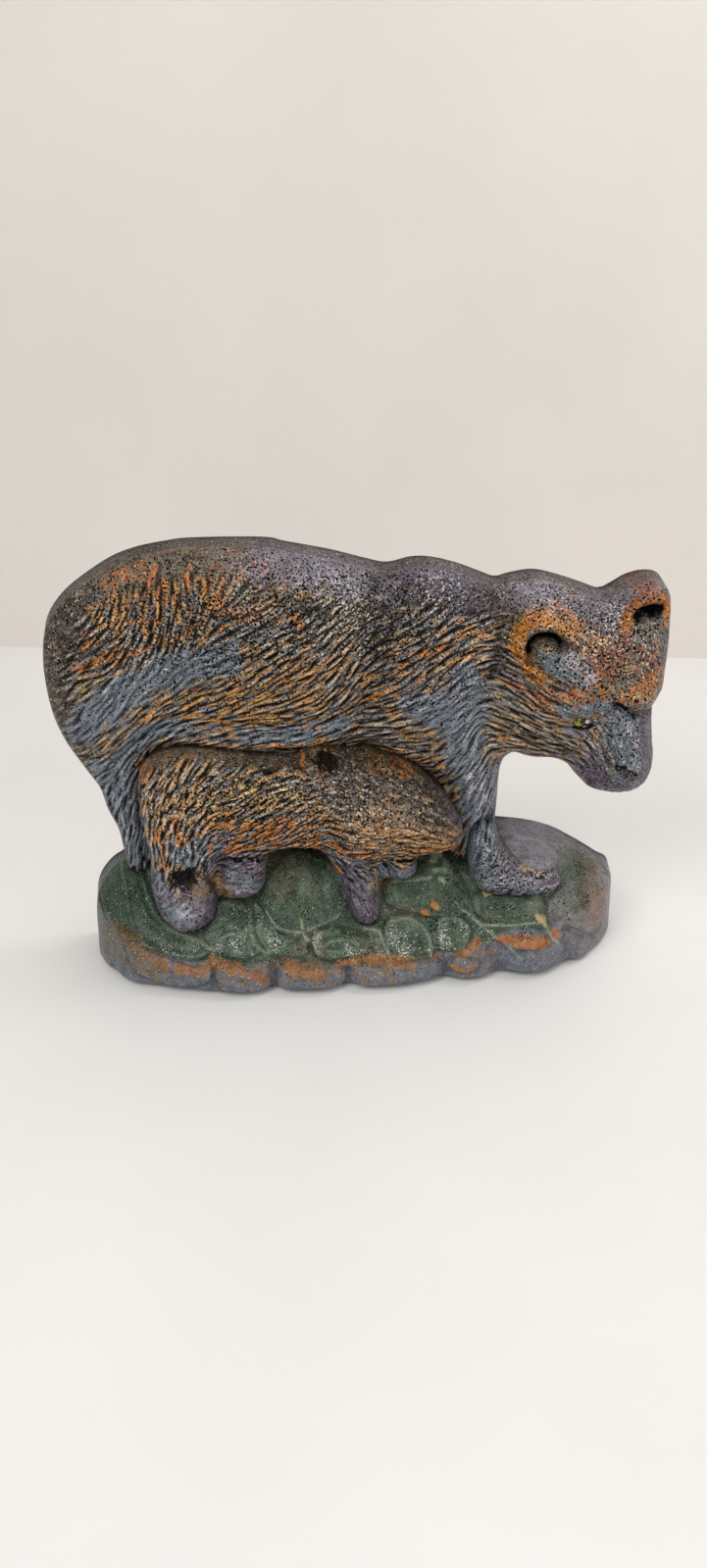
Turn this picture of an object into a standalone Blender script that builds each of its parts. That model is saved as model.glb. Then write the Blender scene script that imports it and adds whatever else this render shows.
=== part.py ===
"""Cast iron doorstop: a mother bear walking over a leafy mound with her cub in front of her.

The front is one hollow relief casting. A flat back plate closes it, held by four
countersunk screws and lined up by two dowel pins, and four rubber feet are under the base.

The relief is drawn in millimetres: x to the right, z up from the floor, and depth
forwards from the parting plane, where the front casting meets the back plate.
"""
import math

import bmesh
import bpy
import numpy as np
from mathutils.geometry import delaunay_2d_cdt

MM = 0.001

# Driving sizes, in millimetres
PARTING_Y = 26.5
BASE_Z = 1.5
JOINT_GAP = 0.3
PLATE_THICKNESS = 4.0
PLATE_INSET = 1.6
CASTING_WALL = 5.0
CAVITY_INSET = 7.0
DRAFT = 1.6
WALL_HEIGHT = 80.0
SURFACE_STEP = {"mother": 4.9, "ground": 4.3, "cub": 4.2, "paw": 4.4}
HEAD_FROM_X = 53.0
HEAD_STEP = 3.3
OUTLINE_STEP = 4.6
CAVITY_STEP = 9.0

SCREW_PLACES = [(-98, 150), (98, 150), (-86, 22), (84, 22)]
SCREW_SHANK_RADIUS = 3.0
SCREW_HEAD_RADIUS = 5.2
SCREW_LENGTH = 19.0
SCREW_SLOT_WIDTH = 1.4
SCREW_SLOT_DEPTH = 1.3
SCREW_BOSS_RADIUS = 7.5
HOLE_CLEARANCE = 0.3

PIN_PLACES = [(-30, 172), (0, 20)]
PIN_RADIUS = 2.5
PIN_LENGTH = 11.0
PIN_IN_PLATE = 2.7
PIN_BOSS_RADIUS = 6.5

FOOT_PLACES = [(-96, 12), (96, 12), (-62, 40), (62, 34)]
FOOT_RADIUS = 8.0
FOOT_THICKNESS = 1.2

# The mother's edge, from her hind foot over the back and the head to her front foot
BACK_LINE = [
    (-111.5, 52), (-113.5, 65), (-117.5, 76), (-120, 87), (-126, 98), (-133, 111), (-137.2, 124),
    (-138.8, 138), (-138.7, 151), (-136.4, 163.5), (-131, 172.5), (-122.5, 180.5), (-108, 190),
    (-97, 194.5), (-84, 197.2), (-71, 198.6), (-41, 198.4), (-31, 196.4), (-12, 192.6),
    (3, 188.6), (13, 186.6), (24, 188.8), (33, 188.4), (44, 185.6), (54, 181.8), (61, 179.4),
    (68, 181), (78, 182.2), (88, 180), (100, 176), (108, 173.2), (113, 175),
    (120, 179.2), (128, 181), (134.5, 179.5), (138.2, 173.5), (139, 164), (139, 152),
    (138.5, 141), (138, 132), (134.5, 125.5), (134.3, 119), (136, 108), (138, 98),
    (137, 89), (132.5, 83), (124, 78.8), (115, 78.5), (107, 80.5), (102, 86), (97, 91.5),
    (90, 95), (82, 95.5), (76, 97), (71, 99), (67.8, 97), (66.5, 91), (66.2, 83),
    (65.8, 71), (65.5, 61),
]
UNDER_THE_GROUND = [(64, 34), (40, 27), (-80, 26), (-106, 28)]
BASE_LEFT = [
    (-124.5, BASE_Z), (-126.8, 4), (-127.2, 14), (-126.6, 26), (-125, 34), (-121, 41), (-114.5, 47),
]
BEHIND_THE_LEGS = [(-105, 50), (-80, 53), (-40, 55), (0, 56), (40, 57.5)]
BASE_RIGHT = [
    (69, 59.5), (77, 58.5), (87, 56.5), (96, 53.5), (103, 49.5), (111, 44.5), (119, 39),
    (124, 36), (126.3, 30), (127, 21), (127.4, 12), (127, 4), (124.5, BASE_Z),
]
BASE_BOTTOM = [(100, BASE_Z), (50, BASE_Z), (0, BASE_Z), (-50, BASE_Z), (-100, BASE_Z)]

# The cub's edge, from its rump over the back, the head and the chin to its feet
CUB_LINE = [
    (-101.5, 92), (-98.5, 103), (-87, 109.5), (-73, 110.5), (-51, 107), (-33, 105), (-25, 108),
    (-17, 109), (-10, 106.5), (-3, 104), (13, 104.5), (23, 101), (32, 94), (39, 86),
    (45, 78), (49, 70), (48, 62), (40, 56.5), (29, 54.5), (28, 46), (23, 41), (14, 41),
    (10, 40), (10.5, 32), (8, 25.5), (0, 24), (-6, 27), (-9, 36), (-13, 46), (-17, 55),
    (-26, 58), (-38, 58), (-42, 52), (-43.5, 42), (-50, 36), (-60, 36), (-64, 36),
    (-66, 29), (-74, 25), (-86, 26), (-95, 33), (-98.5, 45), (-98, 58), (-99.5, 70), (-101, 82),
]
PAW_LINE = [
    (52, 84), (62, 82), (65, 67), (68, 58), (76, 53), (86, 51.5), (93, 48.5), (96, 42.5),
    (93, 36.5), (84, 33.5), (68, 33), (56, 35.5), (50, 43), (49, 60), (50, 74),
]

# The base in plan, as x and depth: seven scallops along the rocky front
BASE_FRONT = [
    (-127.2, 5), (-126.5, 12), (-125, 20), (-120.5, 30), (-116, 35), (-111, 42.5), (-105, 46.5),
    (-97, 48.5), (-86, 52), (-69, 56), (-55, 58), (-48, 56.5), (-42, 53.5), (-36, 56.5), (-19, 57.5),
    (-8, 53.5), (0, 56.5), (15, 56.5), (29, 53.5), (37, 50.5), (46, 54), (55, 53), (63, 48), (72, 50),
    (80, 51), (88, 48.5), (97, 42), (105, 40), (112, 32.5), (118, 26), (123, 18), (126, 11), (127.4, 5),
]
# The foot of the leafy slope in plan, just behind the rocky front
SLOPE_FRONT = [
    (-127.2, 4), (-124, 17), (-118, 29), (-105, 41), (-85, 48), (-50, 53), (-10, 53.5), (25, 52),
    (55, 49), (80, 46), (100, 37), (114, 26), (123, 14), (127.4, 4),
]
# Height of the edge between the leafy slope and the rocky front, along x
FRONT_EDGE = [
    (-128, 36), (-116, 30), (-104, 24), (-90, 20), (-69, 17), (-30, 14), (15, 14), (40, 17),
    (60, 20), (80, 22), (100, 27), (112, 32), (128, 33),
]

# Swellings and hollows: x, z, half width, half height, turn in degrees, rise
MOTHER_LEVEL = 17.0
MOTHER_FORMS = [
    (-100, 150, 40, 40, 0, 8), (-50, 158, 50, 34, 0, 9), (-20, 150, 35, 36, 0, 5),
    (-110, 110, 22, 34, 0, 4), (30, 150, 28, 40, 0, 12), (46, 108, 17, 32, 10, 10),
    (58, 72, 12, 26, 0, 9), (96, 148, 38, 34, 0, 13), (82, 118, 24, 18, 0, 6),
    (130, 140, 16, 34, 0, 7), (93, 137, 16, 9, -10, 2), (119, 102, 17, 28, 8, 15),
    (126, 94, 10, 12, 0, 4),
]
# The face and the ears
FACE_FORMS = [
    (81.5, 152.0, 6.5, 6.0, -20, 3.4), (82, 169, 12, 6, 0, 1.8), (123, 175.5, 11, 6, 0, 2.4),
    (88, 127, 14, 5, -8, 2.2), (103, 129.5, 9, 3.6, 10, 2.6), (122, 132, 10, 4.6, -14, 4.4),
    (98.8, 119.6, 7.5, 4.6, 8, -3.6), (110, 121.5, 4.4, 8, -34, -2.6), (86, 112, 14, 12, -20, 2.5),
    (119, 112, 9, 15, 6, 3.2), (121, 89, 11, 5, 0, 1.8), (119, 102, 7, 4.5, 0, 1.8),
    (107, 96, 8, 7, 30, -1.4), (124.8, 168.6, 7.2, 3.6, 10, -6), (100, 148, 13, 12, 0, 1.6),
    (84, 141, 10, 4, -30, -1.4),
]
# Ridges and creases: rise, half width and the line that each follows
MOTHER_LINES = [
    (-7.0, 4.6, [(61, 186), (62.6, 172), (63.2, 160), (62, 150), (59, 142), (56, 135), (55, 124), (57, 108)]),
    (-4.5, 8.0, [(11, 186), (7, 172), (4, 155), (2, 137), (0, 118), (3, 104)]),
    (-2.5, 5.0, [(-112, 92), (-104, 108), (-92, 116), (-78, 119), (-60, 117), (-35, 116), (-8, 121),
                 (6, 125)]),
    (4.2, 4.0, [(77.4, 141.5), (72.6, 145.5), (69.4, 150), (68.6, 155.5), (70.6, 161), (75.5, 165),
                (81.5, 165.6), (87, 163.4), (91.5, 158.5)]),
    (-6.0, 3.4, [(74.4, 153), (76.4, 156.8), (80.4, 158.2), (84.4, 157)]),
    (3.4, 3.2, [(113.4, 162), (116, 168), (121, 173.4), (127.6, 175.2), (132.8, 173), (134, 167)]),
    (-3.4, 2.8, [(112, 129), (116.5, 126.6), (122, 125), (128, 124.4)]),
]
BELLY_LINE = [(-112, 96), (-98, 112), (-80, 113), (-55, 108), (-30, 107), (-5, 112), (10, 108), (40, 95)]
BELLY_RECESS = 9.0

CUB_LEVEL = 30.0
CUB_FORMS = [
    (-78, 84, 26, 28, 0, 12), (-42, 84, 30, 24, 0, 10), (-84, 58, 18, 24, 0, 9),
    (8, 82, 26, 22, -20, 14), (36, 68, 14, 14, 0, 9), (-4, 64, 14, 22, -15, 10),
    (-81, 32, 16, 12, 0, 17), (2, 32, 12, 14, 0, 17), (-54, 44, 14, 12, 0, 7), (20, 47, 10, 8, 0, 3),
    (-17, 103, 11, 9, 0, 4.5), (-98.3, 102, 3.2, 3, 0, 3), (-17.2, 103, 5, 4.2, 0, -8),
    (-83, 51.5, 5.5, 2.6, 10, -5), (-74, 45, 5, 5, 0, 2), (22, 90, 12, 7, -25, 1.8), (20, 73, 12, 6, 0, 1.6),
]
CUB_LINES = [
    (-4.0, 5.5, [(-12, 98), (-16, 86), (-15, 72), (-19, 60)]),
    (-5.5, 3.6, [(-64, 62), (-66, 50), (-66, 36)]),
    (-6.0, 4.2, [(10, 56), (11, 48), (11, 38)]),
    (2.4, 2.2, [(-24.5, 98), (-25.4, 104), (-20.5, 108.6), (-14.2, 108.8), (-9, 104.6), (-9, 99)]),
]

PAW_LEVEL = 36.0
PAW_FORMS = [(60, 50, 14, 16, 0, 3), (82, 42, 16, 10, 0, 5)]

# The bank behind the paw, and the leaves on the mound: rise and closed line
MOUND_FORMS = [(82, 52, 17, 8, -8, 11)]
LEAVES = [
    (2.2, [(-123, 36), (-119.5, 43), (-113, 46.5), (-110.5, 42), (-107.5, 31), (-103.5, 25), (-110, 25),
           (-117, 30.5)]),
    (2.6, [(-111.5, 47), (-104, 48), (-100.5, 42), (-97, 35.5), (-93, 31), (-87.6, 27.8), (-76, 24),
           (-70, 20), (-80, 18.5), (-96, 21.5), (-102.6, 25.5), (-106.3, 31), (-109, 42)]),
    (2.6, [(-74, 32), (-75.5, 25), (-69, 20.5), (-58, 18), (-47, 19), (-51, 25), (-52, 33), (-62, 36)]),
    (2.2, [(-50, 36), (-45, 33), (-41, 28), (-37, 25.5), (-29, 24.5), (-26.5, 18.5), (-36, 17), (-44, 19),
           (-49.3, 25)]),
    (4.0, [(-42, 40.7), (-36, 44.5), (-26.4, 46), (-15, 41.5), (-9, 34), (-12, 28.5), (-20, 27), (-27, 26.3),
           (-36, 26.6), (-41, 32)]),
    (2.6, [(-23, 24), (-11.5, 25.2), (-2, 23.5), (4, 20), (-1, 16.6), (-12, 15.8), (-22, 17.2)]),
    (2.6, [(10, 25), (13.8, 28), (22, 28), (29, 24), (31, 18.5), (29.5, 15), (13, 15.5), (10.5, 20)]),
    (2.2, [(35, 27), (43, 28.5), (49.5, 25), (48, 20), (40.5, 17), (35, 18)]),
    (4.5, [(35.5, 53), (25, 47), (13.2, 41.5), (11, 34.5), (19, 30.8), (38, 28.6), (47, 29.5), (50, 36),
           (43.5, 46)]),
    (3.0, [(52, 34), (58, 37), (66, 39), (80, 37), (86, 31), (82, 26.5), (67, 26.2), (56, 27.6)]),
    (2.4, [(61.5, 21.8), (70, 24.2), (80, 23.6), (85, 19.5), (79.5, 15.6), (69, 16)]),
    (2.6, [(88, 31), (95, 37), (104, 41), (113, 37), (119, 37), (122.5, 29), (123.5, 18), (116, 12),
           (105, 15), (95, 21), (88, 24)]),
]

# How far the cavity keeps back from the ears' hollows and beside the hind leg
CAVITY_HOLLOWS = [
    (81, 157, 15, 11, 0, -8), (125, 168, 14, 10, 0, -8), (-17, 102, 13, 11, 0, -8), (-104, 64, 11, 22, 0, -7),
]


def smooth_line(points, step, closed):
    """Points at equal steps along the Catmull-Rom curve through the given points."""
    p = np.array(points, dtype=float)
    if closed:
        p = np.vstack([p[-1], p, p[0], p[1]])
    else:
        p = np.vstack([2 * p[0] - p[1], p, 2 * p[-1] - p[-2]])
    t = np.linspace(0, 1, 16, endpoint=False)[:, None]
    a, b, c, d = (p[i:len(p) - 3 + i, None, :] for i in range(4))
    fine = 0.5 * (2 * b + (c - a) * t + (2 * a - 5 * b + 4 * c - d) * t ** 2
                  + (3 * b - a - 3 * c + d) * t ** 3)
    fine = fine.reshape(-1, 2)
    fine = np.vstack([fine, p[-2]])
    along = np.concatenate([[0], np.cumsum(np.hypot(*np.diff(fine, axis=0).T))])
    count = max(3, round(along[-1] / step))
    at = np.linspace(0, along[-1], count, endpoint=False) if closed else np.linspace(0, along[-1], count + 1)
    return np.column_stack([np.interp(at, along, fine[:, 0]), np.interp(at, along, fine[:, 1])])


def outward(loop):
    """Unit normals of a closed loop that runs clockwise in the x, z view."""
    along = np.roll(loop, -1, axis=0) - np.roll(loop, 1, axis=0)
    along /= np.linalg.norm(along, axis=1)[:, None]
    return np.column_stack([-along[:, 1], along[:, 0]])


def signed_distance(loop, x, z):
    """Distance from each point to a closed loop, positive inside it."""
    start, end = loop, np.roll(loop, -1, axis=0)
    run = end - start
    result = np.empty(len(x))
    for first in range(0, len(x), 4000):
        px = x[first:first + 4000, None]
        pz = z[first:first + 4000, None]
        dx, dz = px - start[:, 0], pz - start[:, 1]
        share = np.clip((dx * run[:, 0] + dz * run[:, 1]) / (run ** 2).sum(1), 0, 1)
        gap = np.hypot(dx - share * run[:, 0], dz - share * run[:, 1]).min(1)
        spans = (start[:, 1] > pz) != (end[:, 1] > pz)
        rise = np.where(run[:, 1] == 0, 1, run[:, 1])
        hits = spans & (px < start[:, 0] + dz * run[:, 0] / rise)
        result[first:first + 4000] = np.where(hits.sum(1) % 2 == 1, gap, -gap)
    return result


def line_distance(points, x, z):
    """Distance from each point to an open smooth line."""
    line = smooth_line(points, 1.5, closed=False)
    return np.hypot(x[:, None] - line[:, 0], z[:, None] - line[:, 1]).min(1)


def swell(x, z, forms):
    """Sum of rounded swellings, each the bell curve of an ellipse's own radius."""
    total = np.zeros(len(x))
    for cx, cz, half_x, half_z, turn, rise in forms:
        c, s = math.cos(math.radians(turn)), math.sin(math.radians(turn))
        u = ((x - cx) * c + (z - cz) * s) / half_x
        v = (-(x - cx) * s + (z - cz) * c) / half_z
        total += rise * np.exp(-(u ** 2 + v ** 2))
    return total


def ridges(x, z, lines):
    """Sum of ridges and valleys, each a bell curve across its line."""
    return sum(rise * np.exp(-(line_distance(line, x, z) / half) ** 2) for rise, half, line in lines)


def mother_depth(x, z):
    line = smooth_line(BELLY_LINE, 3.0, closed=False)
    below = np.clip((np.interp(x, line[:, 0], line[:, 1]) - z) / 10, 0, 1)
    between_legs = np.clip((x + 104) / 12, 0, 1) * np.clip((46 - x) / 12, 0, 1)
    return (MOTHER_LEVEL + swell(x, z, MOTHER_FORMS + FACE_FORMS) + ridges(x, z, MOTHER_LINES)
            - BELLY_RECESS * below * between_legs)


def cub_depth(x, z):
    return CUB_LEVEL + swell(x, z, CUB_FORMS) + ridges(x, z, CUB_LINES)


def paw_depth(x, z):
    return PAW_LEVEL + swell(x, z, PAW_FORMS)


def along_base(points, x):
    line = smooth_line(points, 1.0, closed=False)
    return np.interp(x, line[:, 0], line[:, 1])


def leaf_rise(x, z):
    """Each leaf's low dome: its rise times 1 - exp(-distance from its edge / 2.4), the highest one."""
    rise = np.zeros(len(x))
    for high, outline in LEAVES:
        gap = np.maximum(signed_distance(smooth_line(outline, 2.0, closed=True), x, z), 0)
        rise = np.maximum(rise, high * (1 - np.exp(-gap / 2.4)))
    return rise


def ground_depth(x, z):
    """The rocky front's scalloped plan, above its edge a slope back to the rim, and the leaves."""
    front = along_base(BASE_FRONT, x) - 0.06 * z
    edge = along_base(FRONT_EDGE, x)
    top = along_base(BASE_LEFT[3:] + BEHIND_THE_LEGS + BASE_RIGHT[:10], x)
    share = np.clip((z - edge) / np.maximum(top - edge, 4), 0, 1)
    foot = along_base(SLOPE_FRONT, x)
    back = np.minimum(6.0, foot)
    slope = back + (foot - back) * (1 - share) ** 0.85
    above = np.clip((z - edge + 1.5) / 4, 0, 1)
    smooth = front + (slope - front) * above ** 2 * (3 - 2 * above)
    return smooth + swell(x, z, MOUND_FORMS) + leaf_rise(x, z)


# Each form: its closed line, depth, edge radius and the wall's share of the depth, low and high
FORMS = {
    "mother": (BACK_LINE + UNDER_THE_GROUND, mother_depth, 13.0, (0.68, 0.62)),
    "ground": (BASE_LEFT + BEHIND_THE_LEGS + BASE_RIGHT + BASE_BOTTOM, ground_depth, 3.5, (0.9, 0.8)),
    "cub": (CUB_LINE, cub_depth, 8.0, (0.86, 0.60)),
    "paw": (PAW_LINE, paw_depth, 7.0, (0.86, 0.60)),
}
SILHOUETTE = BACK_LINE + BASE_RIGHT + BASE_BOTTOM + BASE_LEFT


def rim_of(points, step):
    """A form's closed line on the parting plane, cut flat where it stands."""
    loop = smooth_line(points, step, closed=True)
    loop[:, 1] = np.maximum(loop[:, 1], BASE_Z)
    return loop


def face_of(rim):
    """The rim drawn in by the draft that lets the casting leave its mould."""
    share = np.clip((rim[:, 1] - BASE_Z - 1) / 8, 0, 1)
    return rim - outward(rim) * (DRAFT * share)[:, None]


def rounded(depth, z, inside, radius, walls):
    """Depth with its edge turned over: a quarter ellipse between the wall and the face.

    The wall takes a larger share of the depth at the foot than from WALL_HEIGHT up.
    """
    share = np.clip(inside / radius, 0, 1)
    low, high = walls
    wall = low + (high - low) * np.clip(z / WALL_HEIGHT, 0, 1)
    return depth * (wall + (1 - wall) * np.sqrt(1 - (1 - share) ** 2))


def total_depth(x, z):
    """The depth of the whole casting, which is the deepest of its forms."""
    deepest = np.zeros(len(x))
    for points, depth, radius, walls in FORMS.values():
        inside = signed_distance(face_of(rim_of(points, 3.0)), x, z)
        surface = rounded(depth(x, z), z, inside, radius, walls)
        deepest = np.maximum(deepest, np.where(inside > 0, surface, 0))
    return deepest


def cavity_depth(x, z):
    """The casting's depth less its wall, measured square to the surface, and clear of steep sides."""
    least = total_depth(x, z) - CASTING_WALL
    for reach in (0.55, 1.0, 1.8):
        drop = CASTING_WALL * math.sqrt(max(0.0, 1 - reach ** 2))
        for turn in np.arange(8) * math.pi / 4:
            beside = total_depth(x + CASTING_WALL * reach * math.cos(turn),
                                 z + CASTING_WALL * reach * math.sin(turn))
            least = np.minimum(least, beside - drop)
    return np.maximum(least + swell(x, z, CAVITY_HOLLOWS), 2.0)


def inset(loop, distance):
    """The loop moved inwards, without the folds that its tight bends would make."""
    moved = loop - outward(loop) * distance
    return moved[signed_distance(loop, moved[:, 0], moved[:, 1]) > 0.97 * distance]


def triangulate(points, count):
    """Triangles over the points and inside the closed loop that the first of them make."""
    drawn = delaunay_2d_cdt([tuple(p) for p in points], [], [list(range(count))], 1, 1e-6, False)
    corners = np.array(drawn[2])
    centres = points[corners].mean(axis=1)
    return corners[signed_distance(points[:count], centres[:, 0], centres[:, 1]) > 0]


def material(name, colour, roughness, metallic):
    shader = bpy.data.materials.new(name)
    shader.use_nodes = True
    principled = shader.node_tree.nodes["Principled BSDF"]
    principled.inputs["Base Color"].default_value = (*colour, 1)
    principled.inputs["Roughness"].default_value = roughness
    principled.inputs["Metallic"].default_value = metallic
    return shader


def collection(name):
    group = bpy.data.collections.new(name)
    bpy.context.scene.collection.children.link(group)
    return group


def mesh_object(name, vertices, faces, group):
    """A mesh from points in millimetres given as x, depth, z."""
    mesh = bpy.data.meshes.new(name)
    mesh.from_pydata([(x * MM, (PARTING_Y - d) * MM, z * MM) for x, d, z in vertices], [], faces)
    obj = bpy.data.objects.new(name, mesh)
    group.objects.link(obj)
    return obj


def face_outwards(obj):
    whole = bmesh.new()
    whole.from_mesh(obj.data)
    bmesh.ops.recalc_face_normals(whole, faces=whole.faces)
    whole.to_mesh(obj.data)
    whole.free()


def lattice(face, step, clear, low_x=-1000.0, high_x=1000.0):
    """A triangular lattice inside a loop, at least the given distance from it, between two x."""
    xs = np.arange(face[:, 0].min(), face[:, 0].max(), step)
    zs = np.arange(face[:, 1].min(), face[:, 1].max(), step * 0.866)
    x, z = np.meshgrid(xs, zs)
    x = x + (np.arange(len(zs)) % 2)[:, None] * step / 2
    x, z = x.ravel(), z.ravel()
    keep = (x > low_x) & (x < high_x) & (signed_distance(face, x, z) > clear + 0.6 * step)
    return np.column_stack([x, z])[keep]


def relief_solid(name, rim, face, depth, radius, walls, step, back, group, head=False):
    """A closed relief: a triangulated face, finer on the head, the wall round it and a flat back."""
    rings = [inset(face, radius * share) for share in (0.13, 0.45)]
    clear = radius * 0.45
    if head:
        points = [lattice(face, step, clear, high_x=HEAD_FROM_X - 2),
                  lattice(face, HEAD_STEP, clear, low_x=HEAD_FROM_X)]
    else:
        points = [lattice(face, step, clear)]
    lattice_points = np.vstack(points)
    flat = np.vstack([face, *rings, lattice_points])
    count = len(face)
    inside = signed_distance(face, flat[:, 0], flat[:, 1])
    inside[:count] = 0
    deep = rounded(depth(flat[:, 0], flat[:, 1]), flat[:, 1], inside, radius, walls)
    front = np.column_stack([flat[:, 0], deep, flat[:, 1]])
    behind = np.column_stack([rim[:, 0], np.full(count, back), rim[:, 1]])
    first = len(front)
    faces = triangulate(flat, count).tolist()
    for i in range(count):
        j = (i + 1) % count
        faces.append((i, j, first + j, first + i))
    faces += (triangulate(rim, count) + first).tolist()
    obj = mesh_object(name, np.vstack([front, behind]), faces, group)
    face_outwards(obj)
    return obj


def rod(name, place, near, far, radius, group, far_radius=None, sides=20):
    """A cylinder or cone along y at a place on the casting, between two depths."""
    bpy.ops.mesh.primitive_cone_add(
        vertices=sides, radius1=radius * MM, radius2=(radius if far_radius is None else far_radius) * MM,
        depth=abs(far - near) * MM,
        location=(place[0] * MM, (PARTING_Y - (near + far) / 2) * MM, place[1] * MM),
        rotation=(math.pi / 2 if far > near else -math.pi / 2, 0, 0))
    obj = bpy.context.object
    obj.name = name
    for owner in obj.users_collection:
        owner.objects.unlink(obj)
    group.objects.link(obj)
    return obj


def boss(place, radius, pin_radius, reach, group):
    """A pillar up to the front wall with a blind hole in its end."""
    pillar = rod("boss", place, -3, 60, radius, group)
    combine(pillar, rod("boss_hole", place, -4, reach, pin_radius + HOLE_CLEARANCE, group), "DIFFERENCE")
    return pillar


def combine(obj, other, operation):
    """Apply one exact Boolean and hide the other shape as a cutter."""
    step = obj.modifiers.new(operation.lower(), "BOOLEAN")
    step.operation = operation
    step.solver = "EXACT"
    step.object = other
    graph = bpy.context.evaluated_depsgraph_get()
    mesh = bpy.data.meshes.new_from_object(obj.evaluated_get(graph))
    obj.modifiers.clear()
    obj.data = mesh
    other.hide_render = True
    other.display_type = "WIRE"


def finish(obj, shader, angle=40):
    obj.data.materials.clear()
    obj.data.materials.append(shader)
    obj.data.shade_smooth()
    obj.data.set_sharp_from_angle(angle=math.radians(angle))


def front_casting(parts, cutters, shader):
    """The mother, the mound, the paw and the cub as one hollow casting with its bosses."""
    solids = {}
    for name, (points, depth, radius, walls) in FORMS.items():
        rim = rim_of(points, OUTLINE_STEP)
        back = 0.0 if name in ("mother", "ground") else 3.0
        group = parts if name == "mother" else cutters
        solids[name] = relief_solid(name, rim, face_of(rim), depth, radius, walls, SURFACE_STEP[name], back,
                                    group, head=name == "mother")
    casting = solids["mother"]
    casting.name = "front_casting"
    for name in ("ground", "paw", "cub"):
        combine(casting, solids[name], "UNION")

    hollow_line = inset(rim_of(SILHOUETTE, 6.0), CAVITY_INSET)
    hollow = relief_solid("cavity", hollow_line, hollow_line, cavity_depth, 0.1, (1.0, 1.0), CAVITY_STEP,
                          -1.0, cutters)
    screw_reach = SCREW_LENGTH - PLATE_THICKNESS + 2
    pin_reach = PIN_LENGTH - PIN_IN_PLATE + HOLE_CLEARANCE
    bosses = [boss(place, SCREW_BOSS_RADIUS, SCREW_SHANK_RADIUS, screw_reach, cutters)
              for place in SCREW_PLACES]
    bosses += [boss(place, PIN_BOSS_RADIUS, PIN_RADIUS, pin_reach, cutters) for place in PIN_PLACES]
    for pillar in bosses:
        combine(hollow, pillar, "DIFFERENCE")
    combine(casting, hollow, "DIFFERENCE")
    finish(casting, shader, angle=50)


def circle(place, radius, sides=20):
    turn = np.arange(sides) * 2 * math.pi / sides
    return np.column_stack([place[0] + radius * np.cos(turn), place[1] + radius * np.sin(turn)])


def back_plate(parts, shader):
    """A flat plate just inside the casting's outline, with countersunk holes and blind pin seats.

    Each face is triangulated round its holes, and bands join the rings of the same hole.
    """
    outline = inset(rim_of(SILHOUETTE, OUTLINE_STEP), PLATE_INSET)
    hole = SCREW_SHANK_RADIUS + HOLE_CLEARANCE
    wide = SCREW_HEAD_RADIUS + 2 * HOLE_CLEARANCE
    seat = PIN_RADIUS + HOLE_CLEARANCE
    inner, outer = -JOINT_GAP, -(JOINT_GAP + PLATE_THICKNESS)
    sink_floor = outer + wide - hole
    seat_floor = inner - PIN_IN_PLATE - HOLE_CLEARANCE
    screw_rings = [
        [(circle(place, hole), inner), (circle(place, hole), sink_floor), (circle(place, wide), outer)]
        for place in SCREW_PLACES]
    seat_rings = [[(circle(place, seat), inner), (circle(place, seat), seat_floor)] for place in PIN_PLACES]

    vertices, faces = [], []

    def add_ring(ring, depth):
        first = sum(len(v) for v in vertices)
        vertices.append(np.column_stack([ring[:, 0], np.full(len(ring), depth), ring[:, 1]]))
        return first

    def add_band(first, second, count):
        faces.extend((first + i, first + (i + 1) % count, second + (i + 1) % count, second + i)
                     for i in range(count))

    def add_face(loops, firsts):
        """Triangles inside the first loop and outside the others."""
        points = np.vstack(loops)
        numbers = np.concatenate([first + np.arange(len(loop)) for loop, first in zip(loops, firsts)])
        starts = np.cumsum([0] + [len(loop) for loop in loops])
        rings = [list(range(a, b)) for a, b in zip(starts[:-1], starts[1:])]
        corners = np.array(delaunay_2d_cdt([tuple(p) for p in points], [], rings, 1, 1e-6, False)[2])
        x, z = points[corners].mean(axis=1).T
        keep = signed_distance(loops[0], x, z) > 0
        for loop in loops[1:]:
            keep &= signed_distance(loop, x, z) < 0
        faces.extend(tuple(numbers[c]) for c in corners[keep])

    inner_edge, outer_edge = add_ring(outline, inner), add_ring(outline, outer)
    add_band(inner_edge, outer_edge, len(outline))
    inner_loops, inner_firsts = [outline], [inner_edge]
    outer_loops, outer_firsts = [outline], [outer_edge]
    for rings in screw_rings + seat_rings:
        firsts = [add_ring(*ring) for ring in rings]
        for first, second in zip(firsts, firsts[1:]):
            add_band(first, second, len(rings[0][0]))
        inner_loops.append(rings[0][0])
        inner_firsts.append(firsts[0])
        if rings[-1][1] == outer:
            outer_loops.append(rings[-1][0])
            outer_firsts.append(firsts[-1])
        else:
            add_face([rings[-1][0]], [firsts[-1]])
    add_face(inner_loops, inner_firsts)
    add_face(outer_loops, outer_firsts)
    plate = mesh_object("back_plate", np.vstack(vertices), faces, parts)
    face_outwards(plate)
    finish(plate, shader)


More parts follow.
